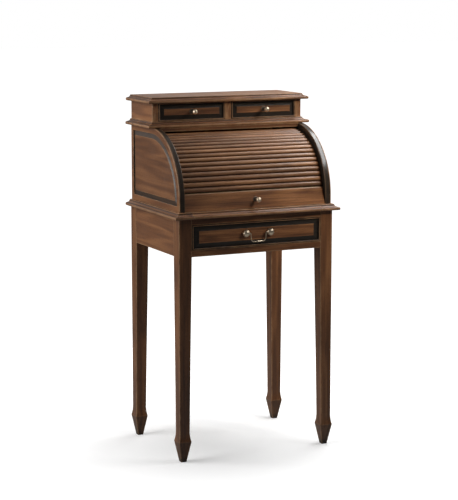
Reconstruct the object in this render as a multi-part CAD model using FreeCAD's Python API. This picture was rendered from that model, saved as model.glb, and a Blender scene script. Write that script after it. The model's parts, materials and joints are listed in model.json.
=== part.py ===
"""Small roll top desk: a drawer stand on tapered legs, a roll top case and a two-drawer box.

Millimetres. X runs to the right of a person at the desk, Y away from them, Z up.
The pieces are built about the middle of the four legs, and moved at the end so that the
origin is the centre of the whole footprint, on the floor.
"""
import FreeCAD, Part
import math
import os
from FreeCAD import Vector

# ---------------------------------------------------------------- driving dimensions
desk_width = 522.0            # across the outer faces of the legs
desk_depth = 381.0            # over the outer faces of the legs
surface_height = 772.0        # floor to the writing surface

leg_size = 42.0               # square section of a leg at the apron
ankle_size = 33.0             # square section at the ankle
ankle_height = 94.0
spade_size = 41.0             # widest square of the spade foot
spade_height = 64.0
foot_size = 17.5              # square that stands on the floor

apron_height = 117.0
apron_thickness = 20.0
apron_inset = 1.0             # aprons and rails behind the legs' outer faces
top_rail_height = 20.0
bottom_rail_height = 21.0
rail_depth = 26.0
tenon_length = 16.0
tenon_thickness = 8.0
tenon_shoulder = 3.0          # wood left above and below a rail's tenon
apron_shoulder = 15.0         # the same on the deep aprons

surface_thickness = 19.0
surface_overhang = 19.0
slide_length = 313.0          # writing slide, front of its nose to its rear edge
slide_lipping = 34.0          # width of the moulded strip on its front
slide_tongue_length = 60.0
slide_tongue_width = 5.5
slide_tongue_thickness = 6.0
slide_travel = 200.0
slide_side_gap = 0.8
slide_drop = 0.3              # clearance under and over a sliding board

runner_width = 40.0           # drawer runners and slide bearers, in from the aprons
guide_height = 15.0           # raised part of a runner beside the drawer, in line with the legs

case_height = 239.0           # writing surface to the cornice board
case_inset = 3.0              # case sides in from the legs' outer faces
case_setback = 4.0            # case sides' front edges behind the legs' front faces
case_side_thickness = 19.0
roll_radius = 212.0           # quarter round of the case sides
panel_frame = 18.0            # plain border round the side's raised panel
panel_bevel = 15.0            # sloping band round the panel's field
panel_recess = 6.0
panel_tongue = 2.0            # thickness of the panel at its outer edge
back_thickness = 8.0
back_rebate = 8.0             # how far the backs lap over the sides
inner_back_setback = 62.5     # inner back's front face, ahead of the case back
inner_back_thickness = 8.0
inner_back_gap = 1.0          # under the tambour's canvas
fascia_height = 12.0
fascia_thickness = 18.0
fascia_setback = 3.0          # behind the cornice board's front edge

slat_recess = 17.0            # top of the slats below the case sides' curved edge
slat_thickness = 9.0
slat_shoulder = 2.5           # straight edge of a slat below its round
slat_pitch = 16.5             # along the slats' tops
slat_gap = 0.5
slat_end_gap = 4.5            # slat shoulders short of the case sides
tongue_thickness = 5.0        # tambour tongues and the groove they run in
tongue_depth = 6.5
groove_clearance = 0.3
groove_entry = 20.0           # degrees below straight ahead, out through the case's foot
groove_end = 1.0              # degrees past the open tambour's tail
canvas_thickness = 0.8
canvas_lap = 5.0              # degrees of canvas glued behind the lift rail
tambour_tail = 86.0           # angle that the closed tambour reaches, from straight ahead
tambour_travel = 56.0         # degrees from closed to open
lift_rail_height = 54.0
lift_rail_recess = 15.0       # top of the lift rail's face below the curved edge
lift_rail_toe = 2.0           # its foot behind the case sides' front edges
lift_rail_end_gap = 1.0
lift_rail_lift = 0.5          # clearance over the writing surface
lift_rail_bead = 4.0          # height of the rounded top of its face
lift_rail_slat_gap = 0.5      # degrees between the rail and the first slat
tongue_relief = 1.0           # degrees that the rail's tongues stop short of its edges

cornice_thickness = 18.0
cornice_overhang = 21.0
box_width = 514.0
box_depth = 172.0
box_height = 57.0
box_side_thickness = 20.0
box_divider_thickness = 22.0
top_thickness = 18.0
top_overhang = 19.0

nose_height = 7.0             # moulding: half round nose at the bottom of an edge
nose_depth = 2.5
nose_quirk = 2.5              # step between nose and cove
top_reveal = 4.0              # the top face stands this far out
reveal_step = 1.5
reveal_height = 3.0

front_thickness = 18.0        # main drawer front
small_front_thickness = 14.0
bead_width = 4.0              # cock bead round a drawer front
bead_proud = 1.5
field_band = 15.0             # sloping band between bead and field
small_field_band = 13.0
field_drop = 4.0              # depth of the band at the bead
drawer_side_gap = 1.5
drawer_top_gap = 1.0
drawer_side_thickness = 12.0
small_side_thickness = 8.0
drawer_bottom_thickness = 5.0
bottom_groove = 4.0
main_drawer_rear_gap = 20.0    # behind the drawers, to the back apron and to the box back
small_drawer_rear_gap = 14.0
drawer_bottom_up = 6.0        # main drawer's bottom above the lower edge of its sides
small_bottom_up = 4.0
drawer_side_drop = 6.0        # sides lower than the front at the top
drawer_seat = 0.3             # running clearance under a drawer's sides

ball_radius = 8.0             # brass ball knobs
ball_reach = 24.0             # ball centre to the wood
rosette_radius = 8.5
rosette_thickness = 2.0
rosette_round = 0.5
neck_radius = 3.2
neck_flare = 1.8              # cove between neck and rosette
knob_screw_radius = 2.0
knob_screw_head = 4.0
knob_screw_head_depth = 2.0
knob_bore_end = 0.5           # bore past the tip of the screw
knob_screw_bite = 8.0         # length of screw inside the knob
screw_clearance = 0.05

pull_span = 83.0              # between the two posts of the drawer pull
pull_dome_radius = 11.5
pull_reach = 9.0              # bail's pivot line to the wood
pull_dome_height = 19.0
pull_dome_stem = 9.5          # radius of the dome above its flange
pull_flange = 1.5             # thickness of the dome's flange
pull_rise = 3.5               # pivot above the middle of the drawer front
pull_bolt_tail = 5.0          # bolt past the drawer front, inside
bail_wire_radius = 2.0
bail_drop = 26.5
bail_neck = 26.0              # half width at the necks
bail_foot = 24.0              # half width at the bottom
bail_neck_bend = 5.0
bail_foot_bend = 10.0
bail_pin_depth = 6.0          # length of each bail end inside its dome
bail_clearance = 0.05
nut_radius = 4.0
nut_thickness = 3.0
thread_slack = 0.02           # between the bolts and their nuts

past = 1.0                    # how far a cutting shape runs past a face

dowel_radius = 4.0
dowel_half_length = 12.0
dowel_margin = 20.0           # from the ends of the boards that they join
dowel_stagger = 30.0          # between the rows above and below the cornice board
case_dowel_spread = 0.65      # outer case dowels, as a share of the half depth
back_screw_radius = 1.5
back_screw_length = 12.0
back_screw_head = 3.2
back_screw_head_depth = 1.8

# ---------------------------------------------------------------- planes worked out from them
half_width = desk_width / 2
half_depth = desk_depth / 2
front = -half_depth
back = half_depth
apron_top = surface_height - surface_thickness
apron_bottom = apron_top - apron_height
apron_outer = half_width - apron_inset
apron_inner = apron_outer - apron_thickness
leg_inner = half_width - leg_size
drawer_floor = apron_bottom + bottom_rail_height
drawer_ceiling = apron_top - top_rail_height

case_outer = half_width - case_inset
case_inner = case_outer - case_side_thickness
case_front = front + case_setback
case_top = surface_height + case_height
arc_y = case_front + roll_radius
arc_z = case_top - roll_radius

slat_outer = roll_radius - slat_recess
slat_inner = slat_outer - slat_thickness
box_bottom = case_top + cornice_thickness
box_top = box_bottom + box_height
box_half = box_width / 2
box_front = back - box_depth
cornice_front = box_front - cornice_overhang

parts = {}


# ---------------------------------------------------------------- shape helpers
def block(x0, x1, y0, y1, z0, z1):
    """Box between two corners, whichever way round they are given."""
    low = Vector(min(x0, x1), min(y0, y1), min(z0, z1))
    return Part.makeBox(abs(x1 - x0), abs(y1 - y0), abs(z1 - z0), low)


def outline(place, steps):
    """Closed wire: steps are (u, v) ends, or (via, end) pairs for arcs; place maps (u, v)."""
    first = steps[0]
    here = first
    edges = []
    for step in steps[1:] + [first]:
        if isinstance(step[0], tuple):
            via, end = step
            edges.append(Part.Arc(place(*here), place(*via), place(*end)).toShape())
            here = end
        elif math.dist(here, step) > 1e-6:
            edges.append(Part.makeLine(place(*here), place(*step)))
            here = step
    return Part.Wire(edges)


def along_x(steps, x0, x1):
    """Solid with a (y, z) outline carried from x0 to x1."""
    face = Part.Face(outline(lambda u, v: Vector(x0, u, v), steps))
    return face.extrude(Vector(x1 - x0, 0, 0))


def along_y(steps, y0, y1):
    """Solid with an (x, z) outline carried from y0 to y1."""
    face = Part.Face(outline(lambda u, v: Vector(u, y0, v), steps))
    return face.extrude(Vector(0, y1 - y0, 0))


def rod(radius, start, end):
    """Cylinder from one point to another."""
    line = end - start
    return Part.makeCylinder(radius, line.Length, start, line)


def square(cx, cy, z, size):
    """Closed square wire, level at height z."""
    h = size / 2
    corners = [Vector(cx - h, cy - h, z), Vector(cx + h, cy - h, z)]
    corners += [Vector(cx + h, cy + h, z), Vector(cx - h, cy + h, z)]
    return Part.makePolygon(corners + [corners[0]])


def fuse(shapes):
    """One clean solid from touching shapes."""
    return shapes[0].fuse(shapes[1:]).removeSplitter()


def roll_point(radius, degrees):
    """(y, z) at an angle up from straight ahead, about the roll top's centre."""
    turn = math.radians(degrees)
    return (arc_y - radius * math.cos(turn), arc_z + radius * math.sin(turn))


def roll_sector(r0, r1, a0, a1, x0, x1):
    """Curved bar between two radii and two angles about the roll top's centre."""
    middle = (a0 + a1) / 2
    steps = [roll_point(r0, a0), roll_point(r1, a0)]
    steps += [(roll_point(r1, middle), roll_point(r1, a1))]
    steps += [roll_point(r0, a1), (roll_point(r0, middle), roll_point(r0, a0))]
    return along_x(steps, x0, x1)


def moulded_edge(overhang, thickness, bottom):
    """Edge profile as (outward, z) steps, from the nose at the bottom up to the top face."""
    nose = overhang - nose_depth
    cove_foot = nose - nose_quirk
    cove_head = top_reveal + reveal_step
    cove_base = nose_height + 1.0
    cove_top = thickness - reveal_height
    sag = math.sqrt(0.5)
    via_out = cove_foot - (cove_foot - cove_head) * sag
    via_up = cove_top - (cove_top - cove_base) * sag
    return [
        (nose, bottom),
        ((overhang, bottom + nose_height / 2), (nose, bottom + nose_height)),
        (cove_foot, bottom + nose_height),
        (cove_foot, bottom + cove_base),
        ((via_out, bottom + via_up), (cove_head, bottom + cove_top)),
        (top_reveal, bottom + cove_top),
        (top_reveal, bottom + thickness),
    ]


def shifted(steps, shift, sign):
    """Profile steps moved to a face at shift, pointing outward along sign."""
    moved = []
    for step in steps:
        if isinstance(step[0], tuple):
            moved.append(tuple((shift + sign * u, v) for u, v in step))
        else:
            moved.append((shift + sign * step[0], step[1]))
    return moved


def reversed_steps(steps):
    """The same outline steps walked the other way."""
    ends = [step[1] if isinstance(step[0], tuple) else step for step in steps]
    result = [ends[-1]]
    for index in range(len(steps) - 1, 0, -1):
        step = steps[index]
        target = ends[index - 1]
        result.append((step[0], target) if isinstance(step[0], tuple) else target)
    return result


def moulded_board(half, face, overhang, thickness, bottom):
    """Board moulded on its front and both ends, flat at the back: two profiles crossed."""
    edge = moulded_edge(overhang, thickness, bottom)
    right = shifted(edge, half, 1)
    left = reversed_steps(shifted(edge, -half, -1))
    ends = along_y(right + left, face - 2 * overhang, back)
    fronts = reversed_steps(shifted(edge, face, -1))
    reach = half + 2 * overhang
    depth = along_x(fronts + [(back, bottom), (back, bottom + thickness)], -reach, reach)
    return ends.common(depth).removeSplitter()


def side_outline(inset):
    """(y, z) steps round a case side, moved in from its edges by inset."""
    radius = roll_radius - inset
    foot = surface_height + inset
    rear = back - inset
    low = max(foot, arc_z)
    start = math.degrees(math.asin((low - arc_z) / radius))
    front_edge = roll_point(radius, start)
    return [
        (rear, foot),
        (front_edge[0], foot),
        front_edge,
        (roll_point(radius, (start + 90) / 2), roll_point(radius, 90)),
        (rear, arc_z + radius),
    ]


# ---------------------------------------------------------------- stand
def tenon_y(x_outer, y_end, sign, z0, z1):
    """Tenon on the end of a side apron, running along Y into a leg."""
    x_mid = x_outer - math.copysign(apron_inset + apron_thickness / 2, x_outer)
    return block(x_mid - tenon_thickness / 2, x_mid + tenon_thickness / 2,
                 y_end, y_end + sign * tenon_length, z0, z1)


def tenon_x(y_outer, x_end, sign, z0, z1):
    """Tenon on the end of a rail across the desk, running along X into a leg."""
    y_mid = y_outer - math.copysign(apron_inset + apron_thickness / 2, y_outer)
    return block(x_end, x_end + sign * tenon_length,
                 y_mid - tenon_thickness / 2, y_mid + tenon_thickness / 2, z0, z1)


def make_leg(sx, sy):
    """Square leg: plain at the apron, tapered on its inner faces, ending in a spade foot."""
    corner_x = sx * half_width
    corner_y = sy * half_depth

    def section(size, z):
        return square(corner_x - sx * size / 2, corner_y - sy * size / 2, z, size)

    ankle_x = corner_x - sx * ankle_size / 2
    ankle_y = corner_y - sy * ankle_size / 2
    rings = [square(ankle_x, ankle_y, 0, foot_size),
             square(ankle_x, ankle_y, spade_height, spade_size),
             section(ankle_size, ankle_height),
             section(leg_size, apron_bottom),
             section(leg_size, apron_top)]
    return fuse([Part.makeLoft(list(pair), True, True) for pair in zip(rings, rings[1:])])


def make_stand():
    """Legs, aprons and drawer rails, joined with mortises and tenons."""
    legs = {}
    for end, sy in (("front", -1), ("back", 1)):
        for side, sx in (("left", -1), ("right", 1)):
            legs["leg_" + end + "_" + side] = make_leg(sx, sy)

    low = apron_bottom + apron_shoulder
    high = apron_top - apron_shoulder
    rail_y = half_depth - leg_size
    for side, sx in (("left", -1), ("right", 1)):
        body = block(sx * apron_outer, sx * apron_inner, -rail_y, rail_y, apron_bottom, apron_top)
        tenons = [tenon_y(sx * half_width, sy * rail_y, sy, low, high) for sy in (-1, 1)]
        parts["apron_" + side] = fuse([body] + tenons)
    body = block(-leg_inner, leg_inner, back - apron_inset, back - apron_inset - apron_thickness,
                 apron_bottom, apron_top)
    tenons = [tenon_x(back, sx * leg_inner, sx, low, high) for sx in (-1, 1)]
    parts["apron_back"] = fuse([body] + tenons)
    for name, z0, z1 in (("rail_above_drawer", drawer_ceiling, apron_top),
                         ("rail_below_drawer", apron_bottom, drawer_floor)):
        body = block(-leg_inner, leg_inner, front + apron_inset, front + rail_depth, z0, z1)
        tenons = [tenon_x(front, sx * leg_inner, sx, z0 + tenon_shoulder, z1 - tenon_shoulder)
                  for sx in (-1, 1)]
        parts[name] = fuse([body] + tenons)

    rails = [parts[name] for name in ("apron_left", "apron_right", "apron_back",
                                      "rail_above_drawer", "rail_below_drawer")]
    for name, leg in legs.items():
        parts[name] = leg.cut(rails).removeSplitter()


def make_runners():
    """Runners under the main drawer, and the bearers above it that carry the writing slide."""
    rear = back - apron_inset - apron_thickness
    face = front + rail_depth
    for side, sx in (("left", -1), ("right", 1)):
        inner = apron_inner - runner_width
        base = block(sx * inner, sx * apron_inner, face, rear, apron_bottom, drawer_floor)
        guide = block(sx * leg_inner, sx * apron_inner, face, rear,
                      drawer_floor, drawer_floor + guide_height)
        bearer = block(sx * inner, sx * apron_inner, face, rear, drawer_ceiling, apron_top)
        parts["drawer_runner_" + side] = fuse([base, guide]).cut(leg_pads())
        parts["slide_bearer_" + side] = bearer.cut(leg_pads())


def leg_pads():
    """The four squares that the legs fill, as tall blocks."""
    pads = []
    for sx in (-1, 1):
        for sy in (-1, 1):
            pads.append(block(sx * half_width, sx * leg_inner, sy * half_depth,
                              sy * (half_depth - leg_size), 0, apron_top))
    return pads


# ---------------------------------------------------------------- writing surface
def make_surface():
    """Moulded side members, a fixed rear board, and the slide that pulls out between them."""
    board = moulded_board(half_width, front, surface_overhang, surface_thickness, apron_top)
    reach = half_width + surface_overhang + past
    slide_half = leg_inner - slide_side_gap
    slide_back = front - surface_overhang + slide_length
    tongue_low = apron_top + (surface_thickness - slide_tongue_thickness) / 2
    tongue_high = tongue_low + slide_tongue_thickness
    tongue_front = slide_back - slide_tongue_length

    for side, sx in (("left", -1), ("right", 1)):
        keep = block(sx * leg_inner, sx * reach, -desk_depth, desk_depth, 0, surface_height)
        groove = block(sx * leg_inner, sx * (slide_half + slide_tongue_width + slide_side_gap),
                       tongue_front - slide_travel - slide_drop, slide_back + slide_drop,
                       tongue_low - slide_drop, tongue_high + slide_drop)
        parts["surface_side_" + side] = board.common(keep).cut(groove)
    parts["surface_back"] = block(-leg_inner, leg_inner, slide_back + 2 * slide_side_gap, back,
                                  apron_top, surface_height)

    floor_z = apron_top + slide_drop
    top_z = surface_height - slide_drop
    inner = front - surface_overhang + slide_lipping
    core = block(-slide_half, slide_half, inner, slide_back, floor_z, top_z)
    tongues = [block(sx * slide_half, sx * (slide_half + slide_tongue_width),
                     tongue_front, slide_back, tongue_low, tongue_high) for sx in (-1, 1)]
    parts["slide_board"] = fuse([core] + tongues)
    lip = block(-slide_half, slide_half, inner, front - 2 * surface_overhang, floor_z, top_z)
    parts["slide_lipping"] = board.common(lip)


# ---------------------------------------------------------------- roll top case
def make_case():
    """Two curved sides with raised panels, the backs and the fascia."""
    for side, sx in (("left", -1), ("right", 1)):
        outer = sx * case_outer
        inner = sx * case_inner
        body = along_x(side_outline(0), inner, outer)
        recess = along_x(side_outline(panel_frame), outer - sx * panel_recess,
                         outer + sx * past)
        groove = roll_sector(slat_inner - groove_clearance,
                             slat_inner + tongue_thickness + groove_clearance,
                             -groove_entry, tambour_tail + tambour_travel + groove_end,
                             inner - sx * past, inner + sx * (tongue_depth + groove_clearance))
        rebate = block(inner - sx * past, inner + sx * back_rebate, back - back_thickness,
                       back + past, surface_height - past, case_top + past)
        parts["case_side_" + side] = body.cut([recess, groove, rebate]).removeSplitter()
        seat = outer - sx * panel_recess
        plate = along_x(side_outline(panel_frame), seat, seat + sx * panel_tongue)
        field = along_x(side_outline(panel_frame + panel_bevel), seat, outer)
        parts["side_panel_" + side] = fuse([plate, field])

    lap = case_inner + back_rebate
    parts["case_back"] = block(-lap, lap, back - back_thickness, back, surface_height, case_top)
    inner_face = back - back_thickness - inner_back_setback
    reach = inner_face + inner_back_thickness - arc_y
    clear = slat_inner - canvas_thickness - inner_back_gap
    inner_top = arc_z + math.sqrt(clear ** 2 - reach ** 2)
    parts["inner_back"] = block(-case_inner, case_inner, inner_face,
                                inner_face + inner_back_thickness, surface_height, inner_top)
    face = cornice_front + fascia_setback
    parts["fascia_rail"] = block(-case_inner, case_inner, face, face + fascia_thickness,
                                 case_top - fascia_height, case_top)


def make_tambour():
    """Half round slats on canvas, and the lift rail with its knob."""
    rail_top = surface_height + lift_rail_height
    rail_face = roll_radius - lift_rail_recess
    rail_angle = math.degrees(math.asin((rail_top - arc_z) / rail_face))
    first = rail_angle + lift_rail_slat_gap
    pitch = math.degrees(slat_pitch / slat_outer)
    count = int((tambour_tail - rail_angle) / pitch)
    shoulder_x = case_inner - slat_end_gap
    tip_x = case_inner + tongue_depth

    half = slat_inner * math.tan(math.radians(pitch / 2)) - slat_gap / 2
    low = -slat_inner
    steps = [(low, -half), (low - slat_shoulder, -half),
             ((low - slat_thickness, 0), (low - slat_shoulder, half)), (low, half)]
    tongue = [(low, -half), (low - tongue_thickness, -half),
              (low - tongue_thickness, half), (low, half)]
    slat = fuse([along_x(steps, -shoulder_x, shoulder_x),
                 along_x(tongue, -tip_x, tip_x).common(
                     along_x(steps, -tip_x, tip_x))])
    slats = []
    for index in range(count):
        angle = first + pitch * (index + 0.5)
        turned = slat.copy()
        turned.rotate(Vector(0, 0, 0), Vector(1, 0, 0), -angle)
        turned.translate(Vector(0, arc_y, arc_z))
        slats.append(turned)
    parts["tambour_slats"] = Part.makeCompound(slats)
    tail = first + pitch * count
    parts["tambour_canvas"] = roll_sector(slat_inner - canvas_thickness, slat_inner,
                                          rail_angle - canvas_lap, tail,
                                          -shoulder_x, shoulder_x)

    rail_x = case_inner - lift_rail_end_gap
    foot_z = surface_height + lift_rail_lift
    toe = case_front + lift_rail_toe
    low_angle = math.degrees(math.asin((foot_z - arc_z) / slat_inner))
    bead_angle = rail_angle - math.degrees(lift_rail_bead / rail_face)
    high_angle = rail_angle - math.degrees(lift_rail_bead / 2 / slat_inner)
    crest = roll_point(rail_face, bead_angle)
    heel = roll_point(slat_inner, low_angle)
    rail = along_x([heel, (toe, foot_z), crest,
                    (roll_point((rail_face + slat_inner) / 2, rail_angle),
                     roll_point(slat_inner, high_angle)),
                    (roll_point(slat_inner, (low_angle + high_angle) / 2), heel)],
                   -rail_x, rail_x)
    ends = [roll_sector(slat_inner, slat_inner + tongue_thickness, low_angle + tongue_relief,
                        rail_angle - tongue_relief, sx * (rail_x - past), sx * tip_x)
            for sx in (-1, 1)]
    rail = fuse([rail] + ends)

    knob_z = (foot_z + rail_top) / 2
    slope = (crest[0] - toe) / (crest[1] - foot_z)
    knob_y = toe + slope * (knob_z - foot_z)
    inside_y = arc_y - math.sqrt(slat_inner ** 2 - (knob_z - arc_z) ** 2)
    add_knob("rail_knob", 0, knob_y, knob_z, inside_y - knob_y, "lift_rail", rail, slope)


# ---------------------------------------------------------------- upper box
def make_upper_box():
    """Cornice board, the two-drawer box and the moulded top."""
    parts["cornice_board"] = moulded_board(box_half, box_front, cornice_overhang,
                                           cornice_thickness, case_top)
    parts["top_board"] = moulded_board(box_half, box_front, top_overhang, top_thickness, box_top)
    inner = box_half - box_side_thickness
    for side, sx in (("left", -1), ("right", 1)):
        panel = block(sx * box_half, sx * inner, box_front, back, box_bottom, box_top)
        rebate = block(sx * (inner - past), sx * (inner + back_rebate), back - back_thickness,
                       back + past, box_bottom - past, box_top + past)
        parts["box_side_" + side] = panel.cut(rebate)
    half = box_divider_thickness / 2
    parts["box_divider"] = block(-half, half, box_front, back - back_thickness,
                                 box_bottom, box_top)
    lap = inner + back_rebate
    parts["box_back"] = block(-lap, lap, back - back_thickness, back, box_bottom, box_top)


# ---------------------------------------------------------------- drawers
def fielded_front(x0, x1, z0, z1, face, thickness, band):
    """Drawer front: cock bead, a band sloping down from the field, and the raised field."""
    def ring(inset, y):
        corners = [(x0 + inset, z0 + inset), (x1 - inset, z0 + inset),
                   (x1 - inset, z1 - inset), (x0 + inset, z1 - inset)]
        points = [Vector(x, y, z) for x, z in corners]
        return Part.makePolygon(points + [points[0]])

    floor = face + field_drop
    board = block(x0, x1, floor, face + thickness, z0, z1)
    field = Part.makeLoft([ring(bead_width, floor), ring(bead_width + band, face)], True, True)
    bead = block(x0, x1, face - bead_proud, floor, z0, z1)
    hollow = block(x0 + bead_width, x1 - bead_width, face - bead_proud - past, floor,
                   z0 + bead_width, z1 - bead_width)
    return fuse([board, field, bead.cut(hollow)])


def make_drawer(name, x0, x1, z0, z1, face, rear, thickness, side_thickness, up, band):
    """Drawer in an opening x0..x1, z0..z1, face..rear: front, sides, back, grooved-in bottom."""
    low_x = x0 + drawer_side_gap
    high_x = x1 - drawer_side_gap
    low_z = z0 + drawer_top_gap
    high_z = z1 - drawer_top_gap
    box_front_y = face + thickness
    seat = z0 + drawer_seat
    top = high_z - drawer_side_drop
    bottom_z = seat + up
    inner0 = low_x + side_thickness
    inner1 = high_x - side_thickness

    panel = block(inner0 - bottom_groove, inner1 + bottom_groove,
                  box_front_y - bottom_groove, rear - side_thickness + bottom_groove,
                  bottom_z, bottom_z + drawer_bottom_thickness)
    front_piece = fielded_front(low_x, high_x, low_z, high_z, face, thickness, band)
    parts[name + "_front"] = front_piece.cut(panel)
    sides = [block(x_low, x_high, box_front_y, rear, seat, top).cut(panel)
             for x_low, x_high in ((low_x, inner0), (inner1, high_x))]
    parts[name + "_sides"] = Part.makeCompound(sides)
    parts[name + "_back"] = block(inner0, inner1, rear - side_thickness, rear,
                                  seat, top).cut(panel)
    parts[name + "_bottom"] = panel


def make_drawers():
    """The main drawer in the stand and the two small ones in the upper box."""
    rear = back - apron_inset - apron_thickness - main_drawer_rear_gap
    make_drawer("main_drawer", -leg_inner, leg_inner, drawer_floor, drawer_ceiling, front, rear,
                front_thickness, drawer_side_thickness, drawer_bottom_up, field_band)
    half = box_divider_thickness / 2
    inner = box_half - box_side_thickness
    middle_z = (box_bottom + box_top) / 2
    rear = back - back_thickness - small_drawer_rear_gap
    for side, x0, x1 in (("left", -inner, -half), ("right", half, inner)):
        name = "small_drawer_" + side
        make_drawer(name, x0, x1, box_bottom, box_top, box_front, rear, small_front_thickness,
                    small_side_thickness, small_bottom_up, small_field_band)
        add_knob("small_knob_" + side, (x0 + x1) / 2, box_front, middle_z,
                 small_front_thickness, name + "_front", parts[name + "_front"], 0.0)
    add_pull()


# ---------------------------------------------------------------- hardware
def add_knob(name, x, y, z, wood, host_name, host, slope):
    """Turned ball knob held by a screw from inside; slope pads it out to a tilted face."""
    bore = knob_screw_radius + screw_clearance
    neck_end = ball_reach - math.sqrt(ball_radius ** 2 - neck_radius ** 2)
    cove = neck_flare * (1 - math.sqrt(0.5))
    profile = [(0, 0), (rosette_radius, 0),
               ((rosette_radius - rosette_round, -rosette_thickness + rosette_round),
                (neck_radius + neck_flare, -rosette_thickness)),
               ((neck_radius + cove, -rosette_thickness - cove),
                (neck_radius, -rosette_thickness - neck_flare)),
               (neck_radius, -neck_end),
               ((ball_radius, -ball_reach), (0, -ball_reach - ball_radius))]
    face = Part.Face(outline(lambda u, v: Vector(u, v, 0), profile))
    turned = face.revolve(Vector(0, 0, 0), Vector(0, 1, 0), 360)
    knob = turned.cut(rod(bore, Vector(0, past, 0),
                          Vector(0, -knob_screw_bite - knob_bore_end, 0)))
    screw = fuse([rod(knob_screw_radius, Vector(0, wood, 0), Vector(0, -knob_screw_bite, 0)),
                  rod(knob_screw_head, Vector(0, wood, 0),
                      Vector(0, wood + knob_screw_head_depth, 0))])
    hole = fuse([rod(bore, Vector(0, -past, 0), Vector(0, wood + past, 0)),
                 rod(knob_screw_head + screw_clearance, Vector(0, wood, 0),
                     Vector(0, wood + knob_screw_head_depth, 0))])
    for piece in (knob, screw, hole):
        piece.translate(Vector(x, y, z))
    if slope:
        lean = rosette_radius * slope
        pad = rod(rosette_radius, Vector(x, y - rosette_thickness / 2, z),
                  Vector(x, y + lean + past, z))
        bore_through = rod(bore, Vector(x, y - rosette_thickness, z),
                           Vector(x, y + lean + 2 * past, z))
        knob = fuse([knob, pad.cut(bore_through)]).cut(host.cut(hole))
    parts[host_name] = host.cut(hole)
    parts[name] = knob
    parts[name + "_screw"] = screw


def add_pull():
    """Drawer pull: two domed posts bolted through the drawer front, and the bail between them."""
    z = (drawer_floor + drawer_ceiling) / 2 + pull_rise
    pivot_y = front - pull_reach
    holes = []
    nuts = []
    inside = front + front_thickness
    for side, sx in (("left", -1), ("right", 1)):
        x = sx * pull_span / 2
        profile = [(0, 0), (pull_dome_radius, 0), (pull_dome_radius, -pull_flange),
                   (pull_dome_stem, -2 * pull_flange),
                   (pull_dome_stem, -pull_dome_height + pull_dome_stem),
                   ((pull_dome_stem * math.sqrt(0.5),
                     -pull_dome_height + pull_dome_stem * (1 - math.sqrt(0.5))),
                    (0, -pull_dome_height))]
        face = Part.Face(outline(lambda u, v: Vector(u, v, 0), profile))
        dome = face.revolve(Vector(0, 0, 0), Vector(0, 1, 0), 360)
        dome.rotate(Vector(0, 0, 0), Vector(0, 1, 0), 90)
        dome.translate(Vector(x, front, z))
        bolt = rod(knob_screw_radius, Vector(x, front - past, z),
                   Vector(x, inside + pull_bolt_tail, z))
        socket_start = x - sx * (pull_dome_stem - bail_pin_depth - knob_bore_end)
        socket = rod(bail_wire_radius + bail_clearance, Vector(socket_start, pivot_y, z),
                     Vector(x - sx * (pull_dome_radius + past), pivot_y, z))
        parts["pull_post_" + side] = fuse([dome, bolt]).cut(socket)
        holes.append(rod(knob_screw_radius + screw_clearance, Vector(x, front - past, z),
                         Vector(x, inside + past, z)))
        nut = rod(nut_radius, Vector(x, inside, z), Vector(x, inside + nut_thickness, z))
        nuts.append(nut.cut(rod(knob_screw_radius + thread_slack, Vector(x, inside - past, z),
                                Vector(x, inside + nut_thickness + past, z))))
    parts["pull_nuts"] = Part.makeCompound(nuts)
    parts["main_drawer_front"] = parts["main_drawer_front"].cut(holes)

    pin_x = pull_span / 2 - (pull_dome_stem - bail_pin_depth)
    route = [(-pin_x, z), (-bail_neck, z), (-bail_foot, z - bail_drop),
             (bail_foot, z - bail_drop), (bail_neck, z), (pin_x, z)]
    bends = [bail_neck_bend, bail_foot_bend, bail_foot_bend, bail_neck_bend]
    parts["pull_bail"] = bent_wire(route, bends, pivot_y, bail_wire_radius)


def bent_wire(route, bends, y, radius):
    """Round wire in an upright plane: straight runs joined by arcs of the given radii."""
    place = [Vector(x, y, z) for x, z in route]
    edges = []
    here = place[0]
    for before, corner, after, bend in zip(place, place[1:], place[2:], bends):
        inward = (before - corner).normalize()
        outward = (after - corner).normalize()
        half = inward.getAngle(outward) / 2
        cut = bend / math.tan(half)
        start = corner + inward * cut
        end = corner + outward * cut
        bisector = (inward + outward).normalize()
        middle = corner + bisector * (bend / math.sin(half) - bend)
        edges.append(Part.makeLine(here, start))
        edges.append(Part.Arc(start, middle, end).toShape())
        here = end
    edges.append(Part.makeLine(here, place[-1]))
    path = Part.Wire(edges)
    ring = Part.Wire([Part.makeCircle(radius, place[0], place[1] - place[0])])
    return path.makePipeShell([ring], True, True)


def add_dowels():
    """Blind dowels between the boards, with their holes."""
    side_x = (case_inner + case_outer) / 2
    box_x = box_half - box_side_thickness / 2
    rear = back - back_thickness
    case_places = (box_front + dowel_margin, rear - dowel_margin)
    box_places = (case_places[0] + dowel_stagger, case_places[1] - dowel_stagger)
    case_feet = (front * case_dowel_spread, 0.0, back * case_dowel_spread)
    rows = [
        (surface_height, side_x, case_feet, "surface_side_", "case_side_"),
        (case_top, side_x, case_places, "case_side_", "cornice_board"),
        (box_bottom, box_x, box_places, "cornice_board", "box_side_"),
        (box_top, box_x, box_places, "box_side_", "top_board"),
    ]
    dowels = []
    for joint_z, x, places, below, above in rows:
        for side, sx in (("left", -1), ("right", 1)):
            pins = [rod(dowel_radius, Vector(sx * x, y, joint_z - dowel_half_length),
                        Vector(sx * x, y, joint_z + dowel_half_length)) for y in places]
            dowels += pins
            for name in (below, above):
                key = name + side if name.endswith("_") else name
                parts[key] = parts[key].cut(pins)
    parts["dowels"] = Part.makeCompound(dowels)


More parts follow.
